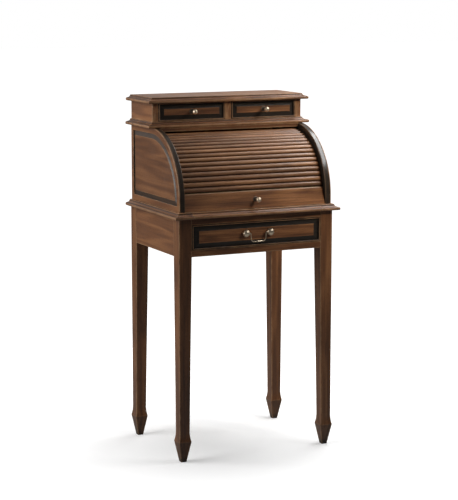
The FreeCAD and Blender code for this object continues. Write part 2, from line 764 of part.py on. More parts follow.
def add_back_screws():
    """Countersunk screws that hold the two backs in their rebates."""
    case_x = case_inner + back_rebate / 2
    box_x = box_half - box_side_thickness + back_rebate / 2
    step = case_height / 3
    spots = [("case", case_x, surface_height + step * (row + 0.5)) for row in range(3)]
    spots += [("box", box_x, box_bottom + box_height / 2)]
    screws = []
    for group, x, z in spots:
        for side, sx in (("left", -1), ("right", 1)):
            shank = rod(back_screw_radius, Vector(sx * x, back, z),
                        Vector(sx * x, back - back_screw_length, z))
            head = Part.makeCone(back_screw_head, back_screw_radius, back_screw_head_depth,
                                 Vector(sx * x, back, z), Vector(0, -1, 0))
            screw = fuse([shank, head])
            screws.append(screw)
            for key in (group + "_back", group + "_side_" + side):
                parts[key] = parts[key].cut(screw)
    parts["back_screws"] = Part.makeCompound(screws)


# ---------------------------------------------------------------- build and export
make_stand()
make_runners()
make_surface()
make_case()
make_tambour()
make_upper_box()
make_drawers()
add_dowels()
add_back_screws()

whole = Part.makeCompound(list(parts.values())).optimalBoundingBox(False)
origin = Vector((whole.XMin + whole.XMax) / 2, (whole.YMin + whole.YMax) / 2, whole.ZMin)
os.makedirs("parts", exist_ok=True)
for node in sorted(parts):
    shape = parts[node].copy()
    shape.translate(origin * -1)
    shape.exportStep("parts/" + node + ".step")

print("nodes", len(parts), "solids", sum(len(shape.Solids) for shape in parts.values()))
print("size %.2f x %.2f x %.2f" % (whole.XLength, whole.YLength, whole.ZLength))
print("origin moved by %.3f %.3f %.3f" % tuple(origin))
print("roll top centre y %.3f z %.3f" % (arc_y - origin.y, arc_z))
print("bail pivot y %.3f" % (front - pull_reach - origin.y))
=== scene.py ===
# %% [markdown]
# # A small roll top desk, dressed for the camera
# The desk is a drawer stand on four tapered legs, a roll top case with a tambour of half
# round slats, and a box with two small drawers on top. The wooden frame, its joints and its
# moving parts already exist as a CAD model. Here each piece of it that shows gets the shape
# a cabinet maker would leave: broken arrises, mouldings, raised fields and polished knobs.
# The CAD bodies fix where everything is, so the first step is to load them and to keep the
# box that they fill.

# %% Open the frame
import json
import math
import bmesh
import bpy
import numpy as np
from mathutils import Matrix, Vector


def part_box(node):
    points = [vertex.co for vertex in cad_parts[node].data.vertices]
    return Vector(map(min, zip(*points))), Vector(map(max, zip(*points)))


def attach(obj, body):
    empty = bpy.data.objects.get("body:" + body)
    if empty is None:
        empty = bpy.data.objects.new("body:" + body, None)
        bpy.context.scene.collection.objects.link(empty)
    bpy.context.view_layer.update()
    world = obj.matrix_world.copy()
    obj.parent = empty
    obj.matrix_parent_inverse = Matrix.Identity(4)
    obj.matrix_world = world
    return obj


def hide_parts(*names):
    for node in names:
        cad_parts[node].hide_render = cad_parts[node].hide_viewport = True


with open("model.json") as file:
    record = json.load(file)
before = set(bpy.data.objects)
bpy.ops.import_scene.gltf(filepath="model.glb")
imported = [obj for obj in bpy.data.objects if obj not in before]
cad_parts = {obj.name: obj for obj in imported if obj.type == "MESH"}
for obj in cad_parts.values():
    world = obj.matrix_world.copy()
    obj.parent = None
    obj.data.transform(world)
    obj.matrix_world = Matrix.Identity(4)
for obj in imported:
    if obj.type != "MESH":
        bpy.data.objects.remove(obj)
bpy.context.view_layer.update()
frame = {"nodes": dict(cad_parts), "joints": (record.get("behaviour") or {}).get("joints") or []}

# %% [markdown]
# ## Working in millimetres
# A joiner works in millimetres and Blender in metres. Every shape below is worked out in
# millimetres, as arrays of points, and scaled once when it becomes a mesh. Places are read
# from the CAD bodies, so that nothing has to be fitted by eye.

# %% Boxes in millimetres
MM = 0.001


def box_mm(node_name):
    """Lowest and highest corner of a CAD body, in millimetres."""
    low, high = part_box(node_name)
    return np.array(low) / MM, np.array(high) / MM


roll_joint = next(j for j in frame["joints"] if j["name"] == "tambour_roll")
ROLL_Y, ROLL_Z = (v / MM for v in roll_joint["pos_m"][1:])
print("roll top turns about y", ROLL_Y, "z", ROLL_Z)

# %% [markdown]
# ## Surfaces from grids
# A board, a moulding and a knob are all one kind of surface: rows of points, where each row
# is a closed loop. A table of points with two indices says it all. The row index runs along
# the piece, the other runs round it. Neighbouring points make the faces, and the first and
# last loops are closed with a cap. The volume that the faces enclose is worked out too. When
# it comes out negative the faces point inwards, and they are turned round.

# %% Faces of a grid and the volume inside them
def grid_faces(rows, count, start, capped):
    """Quads between each point and its neighbours, round the loop and along the rows."""
    index = start + np.arange(rows * count).reshape(rows, count)
    beside = np.roll(index, -1, axis=1)
    quads = np.stack([index[:-1], beside[:-1], beside[1:], index[1:]], axis=-1)
    faces = quads.reshape(-1, 4).tolist()
    if capped:
        faces += [index[0, ::-1].tolist(), index[-1].tolist()]
    return faces


def enclosed(points, capped):
    """Sum of the signed tetrahedra from the middle to each face, in cubic millimetres."""
    middle = points.mean(axis=(0, 1))
    loop = points - middle
    beside = np.roll(loop, -1, axis=1)
    a, b, c, d = loop[:-1], beside[:-1], beside[1:], loop[1:]
    total = (np.cross(a, b) * c).sum() + (np.cross(a, c) * d).sum()
    if capped:
        for ring, sign in ((loop[0], -1), (loop[-1], 1)):
            hub = ring.mean(axis=0)
            total += sign * (np.cross(ring, np.roll(ring, -1, axis=0)) @ hub).sum()
    return total / 6


# %% [markdown]
# ## From grids to a finished piece
# A piece may hold several grids, such as the slats of the tambour. Three values go with each
# point for the finishes to read. The first is 1 where the wood is stained black, and it also
# carries painted shade: in the gaps between the slats, in the steps of the mouldings and round
# the base of the brass knobs and posts. *edge* is 1 on an arris that hands wear pale, and
# *board* is one number for each plank, so that no two planks show the same figure. Points that
# meet are merged, which closes seams and poles.
# Shading is smooth except where faces meet at a real corner.

# %% Grids with values
CORNER = math.radians(37)
SAME_PLACE = 2e-6


def grid(points, capped=True, stain_and_shade=0.0, edge=0.0, board=0.0):
    """One grid of points (rows, count, 3) with its three values spread over it."""
    spread = [np.broadcast_to(v, points.shape[:2]) for v in (stain_and_shade, edge, board)]
    return points, capped, np.stack(spread, axis=-1)


def new_object(name, data):
    """An object in the scene that shows a mesh, a lamp or a camera."""
    made = bpy.data.objects.new(name, data)
    bpy.context.scene.collection.objects.link(made)
    return made


# %% One mesh from all grids of a piece
def make_piece(name, grids, body, material, nodes):
    """Joins grids into one mesh at the origin, and says what it is and what it rides on."""
    faces, volume, start = [], 0.0, 0
    for places, capped, _ in grids:
        rows, count = places.shape[:2]
        part = grid_faces(rows, count, start, capped)
        inside = enclosed(places, capped)
        faces += part if inside > 0 else [face[::-1] for face in part]
        volume += abs(inside)
        start += rows * count
    points, values = (np.concatenate([g[k].reshape(-1, 3) for g in grids]) for k in (0, 2))
    mesh = bpy.data.meshes.new(name)
    mesh.from_pydata((points * MM).tolist(), [], faces)
    for key, column in zip(("stain_and_shade", "edge", "board"), values.T):
        layer = mesh.attributes.new(key, "FLOAT", "POINT")
        layer.data.foreach_set("value", column.astype(np.float32))
    work = bmesh.new()
    work.from_mesh(mesh)
    bmesh.ops.remove_doubles(work, verts=work.verts, dist=SAME_PLACE)
    bmesh.ops.dissolve_degenerate(work, edges=work.edges, dist=SAME_PLACE / 2)
    work.to_mesh(mesh)
    work.free()
    mesh.shade_smooth()
    mesh.set_sharp_from_angle(angle=CORNER)
    mesh.materials.append(material)
    piece = new_object(name, mesh)
    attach(piece, body)
    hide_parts(*nodes)
    print(f"{name}: {len(mesh.polygons)} faces, {volume / 1000:.1f} cm3")


def dress(node, grids, material, body="frame", kind="wood"):
    """A piece that takes the place of one CAD node, and is named after it."""
    make_piece(f"{node}_{kind}", grids, body, material, [node])


# %% [markdown]
# ## Wires for the finishes
# The finishes are node trees. A few short helpers place a node, join or set its sockets, and
# make a group with named inputs and outputs. Colours are written as the eye reads them, from
# 0 to 255, and turned into the linear values that Blender wants.

# %% Node helpers
def seen(red, green, blue):
    """Linear colour from the 0 to 255 values that an eye or a screen reads."""
    share = np.array([red, green, blue]) / 255
    linear = np.where(share <= 0.04045, share / 12.92, ((share + 0.055) / 1.055) ** 2.4)
    return (*linear.tolist(), 1.0)


def feed(tree, node, inputs):
    """Sets inputs, named by socket name or number, to values or to other nodes' sockets."""
    for key, value in inputs.items():
        if isinstance(value, bpy.types.NodeSocket):
            tree.links.new(value, node.inputs[key])
        else:
            node.inputs[key].default_value = value


def put(tree, kind, inputs=None, **settings):
    """A new shader node. Settings come first, as a group has no sockets without its tree."""
    made = tree.nodes.new("ShaderNode" + kind)
    for key, value in settings.items():
        setattr(made, key, value)
    feed(tree, made, inputs or {})
    return made


# %% Sums, mixtures and noise
def calc(tree, operation, *values):
    """A math node's result."""
    return put(tree, "Math", dict(enumerate(values)), operation=operation).outputs[0]


def blend(tree, share, under, over):
    """Colour between under and over, by share."""
    return put(tree, "Mix", {0: share, 6: under, 7: over}, data_type="RGBA").outputs[2]


def noise(tree, vector, scale, detail, rough, warp=0.0):
    """Smooth random values from 0 to 1; scale is in spots for each metre."""
    return put(tree, "TexNoise", {"Vector": vector, "Scale": scale, "Detail": detail,
                                  "Roughness": rough, "Distortion": warp}).outputs[0]


def span(tree, value, low, high, to_low=0.0, to_high=1.0):
    """Value carried from one range to another, and held inside it."""
    return put(tree, "MapRange", {"Value": value, 1: low, 2: high, 3: to_low,
                                  4: to_high}, clamp=True).outputs[0]


# %% Groups, values and materials
def new_group(name, inputs, outputs):
    """An empty node group with named sockets: numbers, but for the one named Vector."""
    tree = bpy.data.node_groups.new(name, "ShaderNodeTree")
    for side, keys in (("INPUT", inputs), ("OUTPUT", outputs)):
        for key in keys:
            kind = "NodeSocketVector" if key == "Vector" else "NodeSocketFloat"
            tree.interface.new_socket(key, in_out=side, socket_type=kind)
    return tree, tree.nodes.new("NodeGroupInput").outputs, tree.nodes.new("NodeGroupOutput")


def bumped(tree, height, distance, strength):
    """Normals of a surface whose relief is height times distance, in metres."""
    made = put(tree, "Bump", {"Height": height, "Distance": distance, "Strength": strength})
    return made.outputs[0]


def own_place(tree):
    """The piece's own coordinates."""
    return put(tree, "TexCoord").outputs["Object"]


def own_value(tree, name):
    """A value that the piece carries at its points: ebony, edge or board."""
    return put(tree, "Attribute", attribute_name=name).outputs["Fac"]


def new_material(name):
    """An empty material, its node tree and its shader."""
    material = bpy.data.materials.new(name)
    material.use_nodes = True
    return material, material.node_tree, material.node_tree.nodes["Principled BSDF"]


# %% [markdown]
# ## The figure of the wood
# Walnut shows three things at three sizes. Growth rings, cut at a slant, make long arched
# bands a few centimetres wide. Streaks run with the grain: thin ones a few millimetres
# across, mixed with wide ones of about a centimetre. Pores are short dark dashes, thinner
# than a pencil line. Broad patches shade the whole a little lighter and darker. All of them
# are noise stretched along the grain, which here runs along the first direction of the
# incoming vector. The group gives them as separate masks, so that the same figure serves dark
# walnut, stained black wood and the plain wood inside the drawers.

# %% Group: wood figure
PLANK_STEP = (7.3, 3.1, 5.7)
HILLS, RING_TURNS = 13, 44.0
THIN, WIDE, THIN_SHARE = 330, 105, 0.45
DASHES, PATCHES = 1500, 11

figure_tree, given, result = new_group("wood figure", ("Vector", "Board"),
                                       ("Rings", "Streaks", "Pores", "Patches"))
offset = put(figure_tree, "VectorMath", {0: PLANK_STEP, "Scale": given["Board"]},
             operation="SCALE").outputs[0]
plank = put(figure_tree, "VectorMath", {0: given["Vector"], 1: offset},
            operation="ADD").outputs[0]


def along_grain(squeeze, *values):
    """Noise whose spots are drawn out along the grain."""
    drawn = put(figure_tree, "VectorMath", {0: plank, 1: (squeeze, 1, 1)},
                operation="MULTIPLY").outputs[0]
    return noise(figure_tree, drawn, *values)


waves = calc(figure_tree, "SINE", calc(figure_tree, "MULTIPLY",
                                       along_grain(0.10, HILLS, 2, 0.5, 0.3), RING_TURNS))
rings = calc(figure_tree, "MULTIPLY_ADD", waves, 0.5, 0.5)
thin = calc(figure_tree, "MULTIPLY", along_grain(0.025, THIN, 3, 0.6), THIN_SHARE)
wide = calc(figure_tree, "MULTIPLY", along_grain(0.035, WIDE, 3, 0.6), 1 - THIN_SHARE)
streaks = span(figure_tree, calc(figure_tree, "ADD", thin, wide), 0.30, 0.70)
pores = span(figure_tree, along_grain(0.07, DASHES, 1, 0.5), 0.60, 0.70)
patches = along_grain(0.25, PATCHES, 2, 0.5)
feed(figure_tree, result, {"Rings": rings, "Streaks": streaks, "Pores": pores,
                           "Patches": patches})
print("wood figure:", len(figure_tree.nodes), "nodes")

# %% [markdown]
# ## Wear and handling
# Where hands and cloths pass, stain rubs off the arrises, more in some places than others.
# The mask takes the *edge* value of the piece and breaks it up with noise at two sizes. The
# second group gives the polish: a little duller where it was touched, a little brighter in
# between. It puts out a roughness between two limits.

# %% Groups: worn edges and handled polish
BROAD, FINE, CLOUDS, SMEARS, SMEAR_SHARE = 28, 260, 17, 120, 0.35

wear_tree, given, result = new_group("worn edges", ("Vector", "Edge"), ("Mask",))
broad = span(wear_tree, noise(wear_tree, given["Vector"], BROAD, 2, 0.6), 0.30, 0.62, 0.25, 1.0)
fine = span(wear_tree, noise(wear_tree, given["Vector"], FINE, 2, 0.6), 0.30, 0.70, 0.55, 1.0)
rubbed = calc(wear_tree, "MULTIPLY", calc(wear_tree, "MULTIPLY", broad, fine), given["Edge"])
feed(wear_tree, result, {"Mask": rubbed})

polish_tree, given, result = new_group("handled polish", ("Vector", "Low", "High"),
                                       ("Roughness",))
cloudy = noise(polish_tree, given["Vector"], CLOUDS, 3, 0.65)
smears = noise(polish_tree, given["Vector"], SMEARS, 2, 0.5)
mixed = calc(polish_tree, "MULTIPLY_ADD", smears, SMEAR_SHARE,
             calc(polish_tree, "MULTIPLY", cloudy, 1 - SMEAR_SHARE))
spread = span(polish_tree, mixed, 0.36, 0.64, given["Low"], given["High"])
feed(polish_tree, result, {"Roughness": spread})


def polish_of(tree, place, low, high):
    """Roughness that wanders between two limits."""
    made = put(tree, "Group", {"Vector": place, "Low": low, "High": high},
               node_tree=polish_tree)
    return made.outputs[0]


print("wear and polish groups ready")

# %% [markdown]
# ## Walnut, lacquered and stained
# Each plank is cut with its grain along its length, so the finish exists three times, for
# planks that lie along x, y and z: a Mapping node turns the piece's own coordinates so that
# the grain becomes the first direction. A thin satin lacquer is the shader's coat. The stain
# value changes the colour to black, through which a little grain still shows. On wood that is
# stained black this is real stain; in the gaps between slats and in the steps of the mouldings
# it is painted shade. The worn edges let pale wood through. How *lively* a finish is says how
# much the streaks count, and its *relief* how deep the pores lie. Two more finishes use this:
# the sides, rubbed smooth so that they shine evenly, and the drawer fronts, dull and strongly
# streaked.

# %% Colours of walnut
TURN = {"x": (0, 0, 0), "y": (0, 0, -math.pi / 2), "z": (0, math.pi / 2, 0)}
WALNUT_DARK, WALNUT_MID, WALNUT_PALE = seen(67, 43, 29), seen(112, 73, 46), seen(152, 105, 67)
BLACK_STAIN_AND_SHADE, BLACK_GRAIN, BARE_WOOD = seen(25, 22, 19), seen(52, 44, 36), seen(184, 146, 108)
STREAKS, RINGS, SHADES, CALM, PORES = 0.62, 0.28, 0.55, 0.31, 0.45
WEAR_SHARE, GRAIN_DEPTH = 0.8, 0.00012


def wood_colour(tree, figure, dark, mid, pale, lively):
    """Rings between dark and mid wood, lifted by pale streaks and darkened by pores."""
    share = calc(tree, "MULTIPLY_ADD", figure["Streaks"], STREAKS * lively,
                 calc(tree, "MULTIPLY", figure["Rings"], RINGS))
    share = calc(tree, "ADD", calc(tree, "MULTIPLY_ADD", figure["Patches"], SHADES, share),
                 CALM * (1 - lively))
    ramp = put(tree, "ValToRGB", {"Fac": span(tree, share, 0.22, 1.18)})
    ramp.color_ramp.elements[0].color = dark
    ramp.color_ramp.elements[1].color = pale
    ramp.color_ramp.elements.new(0.5).color = mid
    pored = calc(tree, "MULTIPLY", figure["Pores"], PORES)
    return blend(tree, pored, ramp.outputs[0], tuple(0.35 * v for v in dark[:3]) + (1,))


# %% The finish in each direction
def finish_wood(name, axis, shift=(0, 0, 0), dark=WALNUT_DARK, mid=WALNUT_MID,
                pale=WALNUT_PALE, polish=(0.30, 0.44), coat=0.12, relief=0.5, lively=1.0):
    """A lacquered wood whose grain runs along one axis."""
    material, tree, shader = new_material(name)
    turned = put(tree, "Mapping", {"Vector": own_place(tree), "Rotation": TURN[axis],
                                   "Location": shift}).outputs[0]
    board = own_value(tree, "board")
    figure = put(tree, "Group", {"Vector": turned, "Board": board},
                 node_tree=figure_tree).outputs
    colour = wood_colour(tree, figure, dark, mid, pale, lively)
    tone = span(tree, board, 0, 1, 0.84, 1.16)
    colour = put(tree, "HueSaturation", {"Value": tone, "Color": colour}).outputs[0]
    # Black for stained wood; where the value marks slat gaps and moulding steps it is painted
    # shade.
    black = blend(tree, figure["Streaks"], BLACK_STAIN_AND_SHADE, BLACK_GRAIN)
    colour = blend(tree, own_value(tree, "stain_and_shade"), colour, black)
    worn = put(tree, "Group", {"Vector": turned, "Edge": own_value(tree, "edge")},
               node_tree=wear_tree).outputs[0]
    height = calc(tree, "SUBTRACT", calc(tree, "MULTIPLY", figure["Streaks"], 0.4),
                  figure["Pores"])
    feed(tree, shader, {
        "Base Color": blend(tree, calc(tree, "MULTIPLY", worn, WEAR_SHARE), colour, BARE_WOOD),
        "Roughness": polish_of(tree, turned, *polish),
        "Normal": bumped(tree, height, GRAIN_DEPTH, relief),
        "Coat Weight": coat, "Coat Roughness": 0.18, "Specular IOR Level": 0.4})
    return material


walnut = {axis: finish_wood(f"walnut along {axis}", axis, lively=lively)
          for axis, lively in (("x", 1.4), ("y", 0.45), ("z", 0.75))}
rubbed_side = finish_wood("walnut, rubbed side", "y", polish=(0.28, 0.32), coat=0.3,
                          relief=0.12, lively=0.45)
flat_front = finish_wood("walnut, flat front", "x", polish=(0.42, 0.56), coat=0.0,
                         lively=1.5)
print("finishes:", [m.name for m in (*walnut.values(), rubbed_side, flat_front)])

# %% [markdown]
# ## The plain wood inside
# Drawer sides, runners and backs are of a paler, cheaper wood, wiped with thin oil. They use
# the same figure with lighter colours and almost no shine.

# %% Lining wood in three directions
LINING = dict(dark=seen(120, 86, 54), mid=seen(164, 125, 84), pale=seen(192, 154, 110),
              polish=(0.50, 0.66), coat=0.0)
lining = {axis: finish_wood(f"lining wood along {axis}", axis, (2.0, 1.0, 0.5), **LINING)
          for axis in "xyz"}
print("finishes:", [m.name for m in lining.values()])

# %% [markdown]
# ## Canvas
# The slats are glued on canvas: two sets of threads, over and under each other. Two sine
# waves at right angles make the weave, and their height makes the relief. Soft noise soils
# it. It shows only inside the case, once the roll top is lifted.

# %% Canvas
THREADS, THREAD_DEPTH = 6000.0, 0.0003

canvas, tree, shader = new_material("tambour canvas")
place = own_place(tree)
parts = put(tree, "SeparateXYZ", {0: place}).outputs
threads_x = calc(tree, "SINE", calc(tree, "MULTIPLY", parts[0], THREADS))
threads_z = calc(tree, "SINE", calc(tree, "MULTIPLY", parts[2], THREADS))
weave = calc(tree, "MULTIPLY_ADD", calc(tree, "MULTIPLY", threads_x, threads_z), 0.5, 0.5)
soiled = noise(tree, place, 30, 3, 0.6)
share = calc(tree, "MULTIPLY_ADD", weave, 0.6, calc(tree, "MULTIPLY", soiled, 0.4))
feed(tree, shader, {"Base Color": blend(tree, share, seen(112, 98, 76), seen(176, 162, 134)),
                    "Roughness": span(tree, soiled, 0, 1, 0.8, 0.95),
                    "Normal": bumped(tree, weave, THREAD_DEPTH, 0.7)})
print("finish:", canvas.name)

# %% [markdown]
# ## Brass and steel
# The knobs and the drawer pull are cast brass, darkened with age in the hollows and polished
# where fingers reach. The stain value marks the hollows, and it is also painted shade on the
# whole base of each knob and under the boss of each post. A film of tarnish also lies over
# the rest in blotches. It is duller than the metal and a little less metallic. Screws are
# plain steel with the same film.

# %% Brass and steel
FILM_SPOTS, FILM_SHARE, FILM_DULL = 210, 0.25, 0.25
PITS, PIT_DEPTH = 900, 0.00008


def finish_metal(name, bright, dull, polish, darkness=0.75):
    """Metal with tarnish blotches, patina in hollows and painted shade at bases."""
    material, tree, shader = new_material(name)
    place = own_place(tree)
    darkening = span(tree, noise(tree, place, FILM_SPOTS, 3, 0.65), 0.42, 0.70)
    share = calc(tree, "MAXIMUM", calc(tree, "MULTIPLY", darkening, FILM_SHARE),
                 calc(tree, "MULTIPLY", own_value(tree, "stain_and_shade"), darkness))
    feed(tree, shader, {
        "Base Color": blend(tree, share, bright, dull),
        "Roughness": calc(tree, "MULTIPLY_ADD", share, FILM_DULL,
                          polish_of(tree, place, *polish)),
        "Metallic": span(tree, share, 0, 1, 1.0, 0.7),
        "Normal": bumped(tree, noise(tree, place, PITS, 2, 0.6), PIT_DEPTH, 0.35)})
    return material


brass = finish_metal("antique brass", seen(255, 234, 204), seen(46, 35, 26), (0.28, 0.40), 0.92)
steel = finish_metal("dulled steel", seen(150, 148, 142), seen(70, 64, 56), (0.35, 0.55))
print("finishes:", brass.name, steel.name)

# %% [markdown]
# ## A board with broken arrises
# A sawn board has sharp arrises, and a finished one never has: each is taken off with a
# stroke or two of the plane. The section is a rectangle whose corners are small quarter
# rounds, and the same quarter round brings the section in at both ends. A point close beside
# each round keeps the shading of the wide faces flat. The *edge* value is 1 on the rounds.

# %% Rounded loops
WEAR_WIDE, ROUND_POINTS = 2.8, 4
ROUND_WEAR = [0, 0.7] + [1] * ROUND_POINTS + [0.7, 0]


def rounded_loop(u0, u1, v0, v1, radius):
    """Rectangle with quarter rounds: four arcs, with a near and a far point on both sides."""
    narrow = min(u1 - u0, v1 - v0)
    reach, fade = min(radius, 0.2 * narrow), min(WEAR_WIDE, 0.22 * narrow)
    turn = np.linspace(0, math.pi / 2, ROUND_POINTS)
    loop, worn = [], []
    for number, (u, v) in enumerate(((u1, v0), (u1, v1), (u0, v1), (u0, v0))):
        angle = turn + (number - 1) * math.pi / 2
        inward = np.array([1 if u == u0 else -1, 1 if v == v0 else -1])
        centre = np.array([u, v]) + reach * inward
        arc = centre + reach * np.stack([np.cos(angle), np.sin(angle)], axis=1)
        along = np.stack([-np.sin(angle), np.cos(angle)], axis=1)
        apart = np.array([[fade], [0.6 * reach]])
        loop += [arc[:1] - apart * along[:1], arc, arc[-1:] + apart[::-1] * along[-1:]]
        worn += ROUND_WEAR
    return np.concatenate(loop), np.array(worn)


def quarter(count):
    """1 - sine and 1 - cosine of a quarter turn: how far in, and how far along."""
    turn = np.linspace(0, math.pi / 2, count)
    return 1 - np.sin(turn), 1 - np.cos(turn)


def mirrored(half, middle=()):
    """The values of one half, those of the middle, and the first ones again, backwards."""
    return np.concatenate([half, middle, half[::-1]])


def end_rounds(w0, w1, radius):
    """Rows along a board: place, inset and wear, with a quarter round at each end."""
    inset, step = (radius * v for v in quarter(ROUND_POINTS))
    inset = np.concatenate([[WEAR_WIDE, 1.6 * radius], inset, [0, 0]])
    step = np.concatenate([[0, 0], step, [1.6 * radius, WEAR_WIDE]])
    place = np.concatenate([w0 + step, w1 - step[::-1]])
    return place, mirrored(inset), mirrored(ROUND_WEAR)


# %% Boards
def lay(loop, level, axis):
    """(u, v) loop at a level along an axis, as x, y, z."""
    w = np.full(len(loop), level)
    columns = {"z": (loop[:, 0], loop[:, 1], w), "x": (w, loop[:, 0], loop[:, 1]),
               "y": (loop[:, 1], w, loop[:, 0])}[axis]
    return np.stack(columns, axis=1)


def board_grid(low, high, axis, plank, radius=0.8):
    """A board between two corners, its grain along an axis."""
    order = {"z": (0, 1, 2), "x": (1, 2, 0), "y": (2, 0, 1)}[axis]
    u0, v0, w0 = (low[i] for i in order)
    u1, v1, w1 = (high[i] for i in order)
    rows, edges = [], []
    for level, inset, worn in zip(*end_rounds(w0, w1, radius)):
        loop, round_worn = rounded_loop(u0 + inset, u1 - inset, v0 + inset, v1 - inset,
                                        max(radius - inset, 0.15 * radius))
        rows.append(lay(loop, level, axis))
        edges.append(np.maximum(round_worn, worn))
    return grid(np.stack(rows), edge=np.stack(edges), board=plank)


rng = np.random.default_rng(7)
PLAIN_BOARDS = {
    "apron_left": "y", "apron_right": "y", "apron_back": "x", "rail_above_drawer": "x",
    "rail_below_drawer": "x", "surface_back": "x", "fascia_rail": "x", "box_side_left": "y",
    "box_side_right": "y", "box_divider": "y",
}
for node_name, axis in PLAIN_BOARDS.items():
    low, high = box_mm(node_name)
    dress(node_name, [board_grid(low, high, axis, rng.random())], walnut[axis])

# %% [markdown]
# ## Tapered legs on spade feet
# A leg is square all the way down. It shrinks to an ankle on its two inner faces only, so
# that the outer faces stay plumb. Below the ankle the spade foot swells in a hollow curve to
# a crisp square, then tapers straight to the floor. The leg is one column of square loops.
# Two lists give each loop's height and size. How far its centre moves follows from the size.

# %% Legs
LEG_HIGH, LEG_TOP, LEG_TAPER = 753.0, 42.0, 636.0
ANKLE, ANKLE_Z = 33.0, 94.0
SPADE, SPADE_Z, FOOT = 41.0, 64.0, 17.5
LEG_WEAR, SPADE_WEAR, FOOT_DARK, SPADE_DARK = 0.8, 0.25, 0.85, 0.3


def leg_levels():
    """Heights and sizes: straight block, straight taper, hollow swell, straight foot."""
    swell = np.linspace(0, 1, 9)
    heights = [LEG_HIGH, LEG_HIGH - 0.7, LEG_HIGH - 2, LEG_TAPER + 1, LEG_TAPER, 500.0, 350.0,
               200.0, ANKLE_Z + 6]
    share = [(LEG_TAPER - z) / (LEG_TAPER - ANKLE_Z) if z < LEG_TAPER else 0 for z in heights]
    sizes = [LEG_TOP - (LEG_TOP - ANKLE) * s for s in share]
    sizes[0] -= 1.0
    heights += (ANKLE_Z - (ANKLE_Z - SPADE_Z - 1.2) * swell).tolist()
    sizes += (ANKLE + (SPADE - ANKLE) * (0.25 * swell + 0.75 * swell ** 2.2)).tolist()
    down = [40.0, 20.0, 4.0, 1.0]
    heights += [SPADE_Z, SPADE_Z - 1.4, *down, 0.0]
    sizes += [SPADE, SPADE - 0.6, *(FOOT + (SPADE - FOOT) * z / SPADE_Z for z in down),
              FOOT - 1.0]
    return np.array(heights), np.array(sizes)


def leg_grid(low, high, plank):
    """Square loops down the leg, centred so that the outer faces stay plumb to the ankle."""
    heights, sizes = leg_levels()
    out_x, out_y = np.sign(low[0] + high[0]), np.sign(low[1] + high[1])
    foot_x = (low[0] if out_x < 0 else high[0]) - out_x * SPADE / 2
    foot_y = (low[1] if out_y < 0 else high[1]) - out_y * SPADE / 2
    lean = np.clip((sizes - ANKLE) / 2, 0, None) * (heights > ANKLE_Z)
    rows, edges = [], []
    for z, size, back_in in zip(heights, sizes, lean):
        x, y, half = foot_x - out_x * back_in, foot_y - out_y * back_in, size / 2
        loop, worn = rounded_loop(x - half, x + half, y - half, y + half, 1.3)
        rows.append(lay(loop, z, "z"))
        crisp = SPADE_WEAR if abs(z - SPADE_Z) < 1.3 else 0.0
        edges.append(np.maximum(worn * LEG_WEAR, crisp))
    dark = np.select([heights < 5, heights <= SPADE_Z], [FOOT_DARK, SPADE_DARK], 0)[:, None]
    return grid(np.stack(rows), edge=np.stack(edges), stain_and_shade=dark, board=plank)


for corner in ("front_left", "front_right", "back_left", "back_right"):
    low, high = box_mm("leg_" + corner)
    dress("leg_" + corner, [leg_grid(low, high, rng.random())], walnut["z"])

# %% [markdown]
# ## One moulding for three boards
# The same cutter shaped the writing surface, the cornice and the top. From below, it left a
# half round nose, a step, a hollow, and a second small step under the flat top. The profile
# is a list of points: how far out, and how high. Each point of it becomes one rectangular
# loop, so the moulding meets itself in a clean mitre at the front corners. On the sides that
# butt against another board the loop doesn't move out at all.

# %% Moulding profile
def moulding(overhang, thickness):
    """(outward, up, wear, darkening) points of the edge: nose, step, hollow, step, top."""
    nose, foot, head = overhang - 2.5, overhang - 5.0, 5.5
    turn = np.linspace(-math.pi / 2, math.pi / 2, 9)
    # The fourth value is painted shade in both steps and at the top of the hollow; it also
    # darkens the nose slightly.
    points = [(nose - 1.5, 0, 0, 0)]
    points += [(nose + 2.5 * math.cos(a), 4.5 + 4.5 * math.sin(a), 0.7 * math.cos(a) ** 4, 0.12)
               for a in turn]
    points += [(foot + 0.5, 9.0, 0, 0.9), (foot, 9.3, 0, 1), (foot, 9.7, 0, 0.9),
               (foot - 0.3, 10, 0.2, 0.6)]
    hollow = np.linspace(0, math.pi / 2, 9)[1:]
    points += [(foot - (foot - head) * math.sin(a),
                thickness - 3 - (thickness - 13) * math.cos(a), 0, 0.75 * math.sin(a) ** 6)
               for a in hollow]
    points += [(head, thickness - 3, 0, 0.6), (4.3, thickness - 3, 0, 0.8),
               (4, thickness - 2.7, 0, 0.6), (4, thickness - 1.2, 0.0, 0),
               (3.9, thickness - 0.6, 0.7, 0), (3.6, thickness - 0.2, 1, 0),
               (3.0, thickness, 0.7, 0), (2.0, thickness, 0, 0)]
    return np.array(points, dtype=float)


# %% Moulded boards
def moulded_grid(low, high, overhang, sides, plank):
    """Rectangular loops, one for each point of the profile; sides are left, right, front."""
    left, right, front = sides
    rows, edges = [], []
    table = moulding(overhang, high[2] - low[2])
    for out, up, worn, _ in table:
        step = overhang - out
        loop, corner = rounded_loop(low[0] + step * left, high[0] - step * right,
                                    low[1] + step * front, high[1], 0.7)
        rows.append(lay(loop, low[2] + up, "z"))
        edges.append(np.where(loop[:, 1] > high[1] - 2, 0.3 * corner,
                              np.minimum(worn + 0.5 * corner, 1)))
    # The profile's fourth column: painted shade in the steps and hollow, a slight darkening on
    # the nose.
    return grid(np.stack(rows), edge=np.stack(edges), stain_and_shade=table[:, 3:], board=plank)


